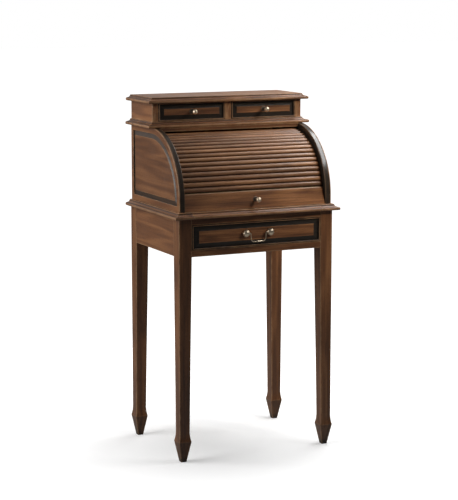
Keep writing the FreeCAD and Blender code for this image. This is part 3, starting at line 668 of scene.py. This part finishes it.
MOULDED = {
    "surface_side_left": (19, (1, 0, 1), "y", "frame"),
    "surface_side_right": (19, (0, 1, 1), "y", "frame"),
    "slide_lipping": (19, (0, 0, 1), "x", "writing_slide"),
    "cornice_board": (21, (1, 1, 1), "x", "frame"),
    "top_board": (19, (1, 1, 1), "x", "frame"),
}
for node_name, (overhang, sides, axis, body) in MOULDED.items():
    low, high = box_mm(node_name)
    dress(node_name, [moulded_grid(low, high, overhang, sides, rng.random())], walnut[axis],
          body)

# %% [markdown]
# ## Drawer fronts with a raised field
# A thin round bead stands proud all round the front. Inside it a sloping band, stained
# black, climbs back up to the flat field. All of it is a stack of rectangular loops, from the
# back face round the bead and up the band. The table gives each loop's inset from the edge of
# the front, and its depth behind the field.

# %% Fielded fronts
def front_rows(thickness, proud, bead, band, drop):
    """(inset, depth, ebony, wear, share of the band): back, sides, bead, wall, band, field."""
    turn = np.linspace(0, math.pi, 9)
    rows = [(1.6, thickness, 0, 0, 0), (0.6, thickness, 0, 0, 0),
            (0.2, thickness - 0.2, 0, 1, 0), (0, thickness - 0.6, 0, 0, 0),
            (0, thickness - 1.4, 0, 0, 0), (0, 0.4, 0.8, 0, 0)]
    rows += [(bead / 2 * (1 - math.cos(a)), -proud * math.sin(a),
              0.95 - 0.7 * math.sin(a) ** 8, math.sin(a) ** 8, 0) for a in turn]
    rows += [(bead + 0.05, 0.6, 1, 0, 0), (bead + 0.1, 1.2, 1, 0, 0),
             (bead + 0.1, drop - 0.3, 1, 0, 0), (bead + 0.4, drop, 1, 0, 0),
             (bead + 1.2, drop - 0.2, 1, 0, 0)]
    climb = [(-0.8, 1.2, 1, 0), (-0.3, 0.95, 1, 0), (-0.15, 0.8, 1, 0),
             (-0.05, 0.35, 0.6, 0.3), (0, 0.1, 0.1, 0.5), (0.3, 0, 0, 0.4), (1, 0, 0, 0)]
    rows += [(bead + band + past, *rest, 1) for past, *rest in climb]
    return np.array(rows, dtype=float)


def front_grid(low, high, proud, bead, band, drop, wider, plank):
    """Loops from the back face to the field; the band is wider by some at its two ends."""
    field = low[1] + proud
    table = front_rows(high[1] - field, proud, bead, band, drop)
    rows = []
    for inset, depth, _, _, share in table:
        ends = inset + wider * share
        loop, _ = rounded_loop(low[0] + ends, high[0] - ends, low[2] + inset,
                               high[2] - inset, 0.35)
        rows.append(lay(loop[:, ::-1], field + depth, "y"))
    return grid(np.stack(rows), stain_and_shade=table[:, 2:3], edge=table[:, 3:4], board=plank)


BEAD_PROUD, BEAD, BAND_DROP = 1.5, 4.0, 4.0
FRONTS = {"main_drawer": (14.5, 4.0), "small_drawer_left": (13.8, 0.0),
          "small_drawer_right": (13.8, 0.0)}
for drawer, (band, wider) in FRONTS.items():
    low, high = box_mm(drawer + "_front")
    dress(drawer + "_front", [front_grid(low, high, BEAD_PROUD, BEAD, band, BAND_DROP, wider,
                                         rng.random())], flat_front, drawer)

# %% [markdown]
# ## Quarter round case sides
# Each side is a thick board with a quarter round front. A raised panel lies in its outer
# face, and a groove for the tambour runs round its inner face. The outline has five runs:
# front stub, arc, top, back and foot. Moving it inwards by any distance keeps the same number
# of points, so a stack of outlines makes the faces, the broken arrises and the frame round
# the panel.

# %% Outline of a case side
def run(start, end, count):
    """Points on a straight run, close together near both ends, without the last one."""
    share = np.concatenate([[0, 0.004], np.linspace(0.03, 0.97, count - 3), [0.996]])
    return np.asarray(start) + share[:, None] * (np.asarray(end) - np.asarray(start))


def side_loop(inset, low, high):
    """(y, z) loop moved in by inset: front stub, arc, top, back, foot."""
    radius = high[2] - ROLL_Z - inset
    foot, rear, top = low[2] + inset, high[1] - inset, ROLL_Z + radius
    start = math.asin(max(foot + 3 - ROLL_Z, 0) / radius)
    corner = math.asin(max(foot - ROLL_Z, 0) / radius)
    turn = np.linspace(start, math.pi / 2, 41)[:-1]
    arc = np.stack([ROLL_Y - radius * np.cos(turn), ROLL_Z + radius * np.sin(turn)], axis=1)
    heel = (ROLL_Y - radius * math.cos(corner), foot)
    return np.concatenate([run(heel, arc[0], 6), arc, run((ROLL_Y, top), (rear, top), 12),
                           run((rear, top), (rear, foot), 16), run((rear, foot), heel, 16)])


# %% [markdown]
# ## The groove for the tambour
# On the inner face the stack starts with five loops: the edge of the brown wood inside the
# groove, then the groove's two walls, each with its two corners. Below the front and at the
# back, where the groove has run out, these loops fall together and the merge closes them. The
# wood outside the groove is stained black, like the front edge that it belongs to.

# %% A case side with its groove
GROOVE_IN, GROOVE_OUT, GROOVE_DEEP = 185.7, 191.3, 6.8
GROOVE_LOW, GROOVE_HIGH = -6.2, 143
FRAME_WIDE, POCKET = 18.0, 6.0


def side_rows(low, high):
    """Loops from the inner face to the panel's pocket: (outline, depth, ebony, wear)."""
    edge_line = side_loop(0, low, high)
    offset = edge_line - (ROLL_Y, ROLL_Z)
    angle = np.degrees(np.arctan2(offset[:, 1], -offset[:, 0]))
    reach = np.hypot(*offset.T)
    inside = (angle > GROOVE_LOW) & (angle < GROOVE_HIGH)
    near = inside | np.roll(inside, 1) | np.roll(inside, -1)
    held, free = (np.radians(v) for v in (np.clip(angle, GROOVE_LOW, GROOVE_HIGH), angle))
    spoke, loose = (np.stack([-np.cos(v), np.sin(v)], axis=1) for v in (held, free))
    rest = loose * np.minimum(reach * 0.72, 182)[:, None]
    flat = np.zeros(len(angle))
    deep = np.where(inside, GROOVE_DEEP, 0.0)
    thick = high[0] - low[0]
    rows = []
    for radius, depth, stain in ((GROOVE_IN - 2, flat, 0.0), (GROOVE_IN, flat, 0.7),
                                 (GROOVE_IN, deep, 1.0), (GROOVE_OUT, deep, 1.0),
                                 (GROOVE_OUT, flat, 1.0)):
        loop = np.where(near[:, None], spoke * radius, rest) + (ROLL_Y, ROLL_Z)
        rows.append((loop, depth, stain, 0.0))
    for inset, depth, worn in ((2.6, 0, 0), (1.8, 0, 0.2), (0.9, 0.24, 0.5), (0.24, 0.9, 0.5),
                               (0, 1.8, 0.2), (0, 2.6, 0), (0, thick - 6.2, 0),
                               (0, thick - 5.2, 0.2), (0.5, thick - 4.8, 0.3),
                               (1.3, thick - 4.6, 0), (1.3, thick - 3.8, 0)):
        rows.append((side_loop(inset, low, high), depth + flat, 0.95, worn))
    for inset, depth, stain, worn in ((0.5, 3.6, 0.6, 0.2), (0, 3.2, 0.3, 0.6),
                                      (0, 1.5, 0.2, 0.7), (0.2, 0.75, 0.1, 1),
                                      (0.75, 0.2, 0, 1), (1.5, 0, 0, 0.5), (2.3, 0, 0, 0),
                                      (FRAME_WIDE - 2, 0, 0, 0), (FRAME_WIDE - 0.8, 0, 0, 0.2),
                                      (FRAME_WIDE - 0.2, 0.3, 0.2, 0.9),
                                      (FRAME_WIDE, 1.0, 1, 0), (FRAME_WIDE, POCKET, 1, 0)):
        rows.append((side_loop(inset, low, high), thick - depth + flat, stain, worn))
    return rows


# %% The loops laid across the board
def side_grid(low, high, plank):
    """The loops laid across the thickness, from the inner face outwards."""
    inner, outward = (high[0], -1) if high[0] < 0 else (low[0], 1)
    rows = side_rows(low, high)
    points = np.stack([np.column_stack([inner + outward * depth, loop])
                       for loop, depth, _, _ in rows])
    values = np.array([row[2:] for row in rows])
    return grid(points, stain_and_shade=values[:, :1], edge=values[:, 1:], board=plank)


for hand in ("left", "right"):
    low, high = box_mm("case_side_" + hand)
    dress("case_side_" + hand, [side_grid(low, high, rng.random())], rubbed_side)

# %% [markdown]
# ## The panel in the side
# The panel fills the frame. A band slopes up to its field, which lies level with the frame.
# It follows the same outline as the side, moved in further, so it shares the side's loops.

# %% Side panels
# Each row: inset from the side's outline, depth below its face, stain, wear.
PANEL_ROWS = np.array([(20, 6, 1, 0), (18.1, 6, 1, 0), (18.1, 4.0, 1, 0), (19.0, 3.9, 1, 0),
                       (32.0, 0.9, 1, 0), (32.4, 0.6, 0.8, 0.3), (32.7, 0.1, 0.1, 0.8),
                       (33.3, 0, 0, 0.6), (34.2, 0, 0, 0), (60, 0, 0, 0)])
PANEL_STAIN = 0.85


def panel_grid(side_low, side_high, plank):
    """Loops of the panel: its hidden back, its thin edge, the band and the field."""
    face, outward = (side_low[0], -1) if side_high[0] < 0 else (side_high[0], 1)
    rows = []
    for inset, depth, _, _ in PANEL_ROWS:
        loop = side_loop(inset, side_low, side_high)
        rows.append(np.column_stack([np.full(len(loop), face - outward * depth), loop]))
    return grid(np.stack(rows), stain_and_shade=PANEL_STAIN * PANEL_ROWS[:, 2:3],
                edge=PANEL_ROWS[:, 3:], board=plank)


for hand in ("left", "right"):
    low, high = box_mm("case_side_" + hand)
    dress("side_panel_" + hand, [panel_grid(low, high, rng.random())], walnut["y"])

# %% [markdown]
# ## The tambour
# Sixteen slats, rounded on top, lie side by side on canvas round the roll top's centre. Each
# slat is the same loop, carried along x and drawn in over its last millimetres. Its thin
# tongues run in the grooves. One array holds the points of a slat, and a turn about the roll
# top's centre puts each slat in its place.

# %% One slat
SLAT_IN, SLAT_HIGH, SLAT_SHOULDER, SLAT_HALF = 186.0, 9.0, 2.5, 7.62
SLAT_PITCH, SLAT_FIRST, SLATS = 4.848, 8.38, 16
SHOULDER_X, TONGUE_X = 234.5, 245.5
SLAT_WEAR, TONGUE_HIGH, TONGUE_ROOT = 0.35, 4.9, 233.0


def slat_loop():
    """(tangent, radial) loop of a slat: flat base, short sides, round back."""
    rise = SLAT_HIGH - SLAT_SHOULDER
    turn = np.linspace(0, math.pi, 15)
    back = np.stack([SLAT_HALF * np.cos(turn), SLAT_SHOULDER + rise * np.sin(turn)], axis=1)
    base = np.array([[-SLAT_HALF, 0.4], [-SLAT_HALF + 0.4, 0], [SLAT_HALF - 0.4, 0],
                     [SLAT_HALF, 0.4]])
    worn = np.concatenate([np.sin(turn) ** 6, np.zeros(4)])
    # Painted shade: the lower flanks and the base darken towards black, for the shade in the
    # gaps between slats.
    dark = np.concatenate([0.95 * (1 - np.sin(turn)) ** 1.3, np.full(4, 0.95)])
    return np.concatenate([back, base]), worn, dark


def slat_rows():
    """x, and the size of the section there: full, then drawn in to a small end face."""
    less, along = quarter(5)
    half = np.append(2.0 * along, 3.5) - SHOULDER_X
    return np.concatenate([half, [0], -half[::-1]]), mirrored(1 - 0.16 * less, (1, 1, 1))


def about_roll(x, tangent, radial, degrees):
    """Points turned round the roll's centre: radial outwards, tangent up the curve."""
    turn = np.radians(degrees)
    y = ROLL_Y - radial * np.cos(turn) + tangent * np.sin(turn)
    z = ROLL_Z + radial * np.sin(turn) + tangent * np.cos(turn)
    return np.stack(np.broadcast_arrays(x, y, z), axis=-1)


# %% Place the slats
def tongues(start_x, tangent, radial, degrees, plank, end=1.0):
    """The tongues at both ends: a flat loop carried out along x, smaller by end at its tip."""
    shrink = np.array([1, 1, 1, end])[:, None]
    reach = np.array([start_x, start_x + 0.5, TONGUE_X - 0.5, TONGUE_X])[:, None]
    return [grid(about_roll(outward * reach, tangent * shrink, SLAT_IN + radial * shrink,
                            degrees), board=plank) for outward in (-1, 1)]


slat_section, slat_worn, slat_painted_shade = slat_loop()
slat_x, slat_size = slat_rows()
flat_loop, _ = rounded_loop(-SLAT_HALF + 0.2, SLAT_HALF - 0.2, 0.1, TONGUE_HIGH, 0.6)
tangent = slat_section[:, 0] * slat_size[:, None]
radial = SLAT_IN + slat_section[:, 1] * slat_size[:, None]
grids = []
for number in range(SLATS):
    degrees = SLAT_FIRST + SLAT_PITCH * (number + 0.5)
    plank = rng.random()
    grids.append(grid(about_roll(slat_x[:, None], tangent, radial, degrees),
                      edge=SLAT_WEAR * slat_worn, stain_and_shade=slat_painted_shade, board=plank))
    grids += tongues(TONGUE_ROOT, flat_loop[:, 0], flat_loop[:, 1], degrees, plank, 0.92)
dress("tambour_slats", grids, walnut["x"], "tambour")

# %% [markdown]
# ## The lift rail
# The first and heaviest member of the tambour carries the knob. Its face slopes back from
# the toe, ends in a small round, and its back follows the canvas. It is one profile in y and
# z, carried along x like a slat, with its own tongues.

# %% Profile of the lift rail
RAIL_OUT, RAIL_ROUND, RAIL_HALF = 197.0, 4.0, 238.0
RAIL_TONGUE, RAIL_TURN, RAIL_TONGUE_ROOT = (-27.0, 20.5), 0.6, 236.0
RAIL_DEEP, RAIL_TALL = 13.0, 26.0


def rail_loop(low, high):
    """(y, z) loop of the rail: toe, sloping face, round top, curved back."""
    top = math.degrees(math.asin((high[2] - ROLL_Z) / RAIL_OUT))
    under = math.degrees(math.asin((low[2] - ROLL_Z) / SLAT_IN))
    crest = top - math.degrees(RAIL_ROUND / RAIL_OUT)

    def at(radius, degrees):
        """Places on a circle round the roll's centre, as (y, z)."""
        return about_roll(0.0, 0.0, radius, degrees)[..., 1:]

    toe, brow = np.array([low[1], low[2]]), at(RAIL_OUT, crest)
    slope = (brow - toe) / np.linalg.norm(brow - toe)
    across = np.array([slope[1], -slope[0]])
    toe_round = [toe + (2.0, 0), toe + (0.9, 0), toe + (0.25, 0.25), toe + 0.9 * slope,
                 toe + 2.0 * slope]
    turn = np.linspace(0, math.pi, 9)
    middle = (brow + at(SLAT_IN + 0.6, crest)) / 2
    half = np.linalg.norm(brow - middle)
    crown = [middle - across * half * math.cos(a) + slope * 3.6 * math.sin(a) for a in turn]
    back = at(SLAT_IN, np.linspace(crest - 1, under + 0.3, 14))
    loop = np.array([*toe_round, brow - 2 * slope, *crown, *back, at(SLAT_IN + 1, under)])
    worn = np.zeros(len(loop))
    worn[1:4] = 0.9
    worn[7:12] = 0.8
    return loop, worn


# %% The solid rail
low, high = box_mm("lift_rail")
section, section_worn = rail_loop(low, high)
hub = section.mean(axis=0)
less, along = (1.2 * v for v in quarter(5))
half = np.concatenate([[0], along, [2.6]]) - RAIL_HALF
x = np.concatenate([half, [0], -half[::-1]])
inset = mirrored(np.concatenate([[2.2], less, [0]]), (0,))[:, None]
points = np.stack([np.broadcast_to(x[:, None], (len(x), len(section))),
                   hub[0] + (section[:, 0] - hub[0]) * (1 - inset / RAIL_DEEP),
                   hub[1] + (section[:, 1] - hub[1]) * (1 - inset / RAIL_TALL)], axis=-1)
plank = rng.random()
grids = [grid(points, edge=section_worn, board=plank)]
loop, _ = rounded_loop(*RAIL_TONGUE, 0.1, TONGUE_HIGH, 0.6)
bend = np.degrees(loop[:, 0] / SLAT_IN) + RAIL_TURN
grids += tongues(RAIL_TONGUE_ROOT, 0.0, loop[:, 1], bend, plank)
dress("lift_rail", grids, walnut["x"], "tambour")

# %% [markdown]
# ## Knobs and pull posts turned on a lathe
# A turned piece is one profile spun round its axis: a table of radius against height above
# the wood. The knobs are balls on a thin neck with a small rosette. Each post of the drawer
# pull is more than half a ball on a thin flange. The stain value is high in the hollows,
# where polish never reaches. It is also painted shade on the rosette, the neck and the back
# of each ball, and on the flange and the underside of each post's boss.

# %% Spin a profile
BALL, BALL_Z, NECK = 8.0, 24.0, 3.5
BOSS, BOSS_Z = 11.3, 7.7
FACETS = 56


def spun(profile, centre):
    """Radius and height of each ring, spun about an axis that points to the front."""
    # The third value of each ring darkens the brass: patina in hollows, painted shade at the
    # base.
    radius, height, darkening = np.array(profile, dtype=float).T
    turn = np.linspace(0, 2 * math.pi, FACETS, endpoint=False)
    x = centre[0] + radius[:, None] * np.cos(turn)
    y = centre[1] - height[:, None] + 0 * turn
    z = centre[2] + radius[:, None] * np.sin(turn)
    return grid(np.stack([x, y, z], axis=-1), capped=False, stain_and_shade=darkening[:, None])


def knob_profile():
    """Rosette with a rounded rim, a flared neck, and the ball."""
    # Third value: patina in the hollows, and painted shade on the rosette, the neck and the back
    # of the ball.
    rows = [(0, 0, 1), (8.0, 0, 1), (8.5, 0.5, 1.0), (8.5, 1.1, 0.9), (8.1, 1.7, 0.8),
            (7.4, 2.0, 0.9), (5.8, 2.1, 1.0)]
    rows += [(3.2 + 1.9 * (1 - math.sin(a)), 2.2 + 2.2 * (1 - math.cos(a)), 1.0)
             for a in np.linspace(0.1, math.pi / 2, 6)]
    rows += [(3.2, 13.0, 0.9), (3.4, 15.6, 1.0)]
    start = math.asin(NECK / BALL)
    rows += [(BALL * math.sin(a), BALL_Z - BALL * math.cos(a),
              max(0.0, 0.9 - 1.5 * (a - start))) for a in np.linspace(start, math.pi, 26)]
    return rows[:-1] + [(0, BALL_Z + BALL, 0)]


def post_profile():
    """Thin flange and a boss: more than half a ball, its widest ring above the wood."""
    # Third value: painted shade on the flange and under the boss.
    rows = [(0, 0, 1), (9.3, 0, 1), (9.8, 0.3, 0.9), (9.8, 0.8, 0.9), (9.2, 1.1, 1.0)]
    rows += [(BOSS * math.cos(a), BOSS_Z + BOSS * math.sin(a), max(0.0, -1.4 * math.sin(a)))
             for a in np.linspace(-0.6, math.pi / 2, 26)]
    return rows[:-1] + [(0, BOSS_Z + BOSS, 0)]


# %% Turn the knobs and posts
def turned(node, profile, body):
    """A brass piece whose profile ends at the front of its CAD body."""
    low, high = box_mm(node)
    centre = ((low[0] + high[0]) / 2, low[1] + profile[-1][1], (low[2] + high[2]) / 2)
    dress(node, [spun(profile, centre)], brass, body, "brass")


turned("rail_knob", knob_profile(), "tambour")
for hand in ("left", "right"):
    turned("small_knob_" + hand, knob_profile(), "small_drawer_" + hand)
for hand in ("left", "right"):
    turned("pull_post_" + hand, post_profile(), "main_drawer")

# %% [markdown]
# ## The bail
# The bail is a bent rod that hangs between the posts. Its line is straight runs joined by
# tangent arcs, in one upright plane, and a ring of points follows it. The rod is a little
# thicker at the knuckles beside the posts and in the middle, as a forged one is.

# %% Line of the bail
BAIL_THICK, BAIL_NECK, BAIL_FOOT, BAIL_BENDS = 1.75, 26, 24, (5, 10, 10, 5)
KNUCKLE_X, KNUCKLE_MORE, BELLY_MORE = 27.5, 1.1, 0.45


def bent_line(corners, radii):
    """Points along straight runs, with each corner replaced by an arc that touches both."""
    corners = [np.array(c, dtype=float) for c in corners]
    points = [corners[0][None, :]]
    for before, corner, after, radius in zip(corners, corners[1:], corners[2:], radii):
        into = (before - corner) / np.linalg.norm(before - corner)
        out = (after - corner) / np.linalg.norm(after - corner)
        half = math.acos(np.clip(into @ out, -1, 1)) / 2
        centre = corner + (into + out) / np.linalg.norm(into + out) * radius / math.sin(half)
        a = corner + into * radius / math.tan(half) - centre
        b = corner + out * radius / math.tan(half) - centre
        turn = math.acos(np.clip(a @ b / radius ** 2, -1, 1))
        share = np.linspace(0, 1, max(5, int(turn * radius / 0.8)))[:, None]
        points.append(centre + (np.sin((1 - share) * turn) * a + np.sin(share * turn) * b)
                      / math.sin(turn))
    points.append(corners[-1][None, :])
    return np.concatenate(points)


# %% Rod along the line
low, high = box_mm("pull_bail")
pin_z, foot_z, plane_y = high[2] - 2.0, low[2] + 2.0, (low[1] + high[1]) / 2
line = bent_line([(high[0], pin_z), (BAIL_NECK, pin_z), (BAIL_FOOT, foot_z),
                  (-BAIL_FOOT, foot_z), (-BAIL_NECK, pin_z), (low[0], pin_z)], BAIL_BENDS)
steps = np.concatenate([[0], np.cumsum(np.linalg.norm(np.diff(line, axis=0), axis=1))])
even = np.linspace(0, steps[-1], 150)
line = np.stack([np.interp(even, steps, line[:, k]) for k in (0, 1)], axis=1)
ahead = np.gradient(line, axis=0)
ahead /= np.linalg.norm(ahead, axis=1)[:, None]
knuckle = np.exp(-((np.abs(line[:, 0]) - KNUCKLE_X) / 1.6) ** 2) * (line[:, 1] > pin_z - 4)
belly = np.exp(-(line[:, 0] / 9) ** 2) * (line[:, 1] < foot_z + 2)
thick = BAIL_THICK + KNUCKLE_MORE * knuckle + BELLY_MORE * belly
thick[[0, -1]] = 0.0
turn = np.linspace(0, 2 * math.pi, 20, endpoint=False)
across = thick[:, None] * np.cos(turn)
points = np.stack([line[:, :1] - ahead[:, 1:] * across,
                   plane_y + thick[:, None] * np.sin(turn),
                   line[:, 1:] + ahead[:, :1] * across], axis=-1)
darkness = np.clip(knuckle, 0, 1)[:, None] * 0.5 + 0.15
dress("pull_bail", [grid(points, capped=False, stain_and_shade=darkness)], brass, "drawer_bail",
      "brass")

# %% [markdown]
# ## What the CAD made well enough
# Drawer boxes, runners, backs, the writing board and the screws are plain shapes that the
# CAD bodies already show. They keep their meshes and get the finishes, each with the grain
# along its length.

# %% Finishes for the carried pieces
DRAWERS = ("main_drawer", "small_drawer_left", "small_drawer_right")
KEPT = {"x": [d + part for d in DRAWERS for part in ("_back", "_bottom")]
        + ["case_back", "inner_back", "box_back"],
        "y": [d + "_sides" for d in DRAWERS]
        + [part + hand for part in ("drawer_runner_", "slide_bearer_")
           for hand in ("left", "right")],
        "z": ["dowels"]}
kept = {name: lining[axis] for axis, names in KEPT.items() for name in names}
kept |= {"slide_board": walnut["x"], "tambour_canvas": canvas, "pull_nuts": brass}
kept |= {name: steel for name in frame["nodes"] if name.endswith(("screw", "screws"))}
for name, material in kept.items():
    for place in frame["nodes"][name].material_slots:
        place.material = material
print(len(kept), "carried pieces finished")

# %% [markdown]
# ## Floor and room
# The desk stands on a white floor in a white room. The floor is pale and matt, so that it
# takes a soft shadow. It gives the camera a little light of its own, more of it further out,
# so that it ends up white where nothing shades it. The camera sees the room as plain white,
# while the desk is lit by it softly, and more from behind than from the front.

# %% Floor
FLOOR_GLOW, FLOOR_HALF = (0.12, 0.96), 30.0
WHITE, FLOOR_GREY, FLOOR_SEEN = (1, 1, 1, 1), (0.3, 0.3, 0.3, 1), (0.86, 0.86, 0.86, 1)


def white_floor():
    """Matt stuff, white for the camera, which gets more light of its own further out."""
    material, tree, shader = new_material("white floor")
    away = put(tree, "VectorMath", {0: own_place(tree)}, operation="LENGTH").outputs["Value"]
    glow = span(tree, away, 0.1, 1.3, *FLOOR_GLOW)
    path = put(tree, "LightPath").outputs["Is Camera Ray"]
    feed(tree, shader, {"Base Color": blend(tree, path, FLOOR_GREY, FLOOR_SEEN),
                        "Roughness": 0.9, "Specular IOR Level": 0.1, "Emission Color": WHITE,
                        "Emission Strength": calc(tree, "MULTIPLY", path, glow)})
    return material


mesh = bpy.data.meshes.new("floor")
mesh.from_pydata([(x * FLOOR_HALF, y * FLOOR_HALF, 0)
                  for x, y in ((-1, -1), (1, -1), (1, 1), (-1, 1))], [], [(0, 1, 2, 3)])
mesh.materials.append(white_floor())
floor = new_object("floor", mesh)

# %% A white room
world = bpy.data.worlds.new("white room")
bpy.context.scene.world = world
world.use_nodes = True
tree = world.node_tree
aim = put(tree, "TexCoord").outputs["Generated"]
aim = put(tree, "SeparateXYZ", {0: aim}).outputs
room = span(tree, aim[1], -0.35, 0.55, 0.065, 0.37)
path = put(tree, "LightPath").outputs
direct = calc(tree, "MAXIMUM", path["Is Camera Ray"], path["Is Transmission Ray"])
feed(tree, tree.nodes["Background"], {"Strength": calc(tree, "MAXIMUM", room, direct),
                                      "Color": WHITE})
print("room and floor ready")

# %% [markdown]
# ## Lamps
# Four lamps light the desk. A long narrow box hangs over its right side, from front to back.
# A large box lights the left side, and another hangs over the top. A small warm lamp at the
# front right is the key, and draws the shadows. The last two make no highlight: mirrored in
# the left black strip, the overhead box made it too shiny.

# %% Lamps
def lamp(name, kind, place, target, power, **settings):
    """A lamp that faces its target; places and sizes in metres, power in watts."""
    light = bpy.data.lights.new(name, kind)
    light.energy = power
    for key, value in settings.items():
        setattr(light, key, value)
    made = new_object(name, light)
    aim = np.array(target) - np.array(place)
    made.location = place
    made.rotation_euler = (math.atan2(math.hypot(aim[0], aim[1]), -aim[2]), 0,
                           math.atan2(-aim[0], aim[1]))
    made.visible_camera = False
    return made


BOXES = (("right", (0.8, -0.22, 1.77), (0.8, 0.07, 0.81), 16, (0.34, 1.3)),
         ("left", (-1.7, 0.2, 1.35), (0, 0, 0.8), 27, (1.3, 1.4)),
         ("overhead", (0.75, 0.45, 2.2), (0.1, 0, 0.9), 15, (1.2, 1.2)))
lamps = {name: lamp(name, "AREA", *rest, shape="RECTANGLE", size=size[0], size_y=size[1])
         for name, *rest, size in BOXES}
lamps["key"] = lamp("key", "SPOT", (0.92, -1.43, 1.76), (0.50, -0.1, 1.05), 83,
                    color=(1.0, 0.95, 0.88), shadow_soft_size=0.06,
                    spot_size=math.radians(51), spot_blend=1.0)
lamps["overhead"].visible_glossy = lamps["key"].visible_glossy = False
print("lamps:", list(lamps))

# %% [markdown]
# ## Camera
# A long lens from five metres away keeps upright lines nearly parallel. It looks from the
# left and from a little above the desk, so that the front, one side and the top show.

# %% Camera
view = bpy.data.cameras.new("camera")
view.lens, view.sensor_width = 120.38, 36
camera = new_object("camera", view)
camera.location = (-2.2452, -4.7154, 1.4558)
camera.rotation_euler = (math.radians(80.875), 0, math.radians(-25.373))
bpy.context.scene.camera = camera
bpy.context.scene.view_settings.view_transform = "Standard"
print("camera at", [round(v, 3) for v in camera.location])
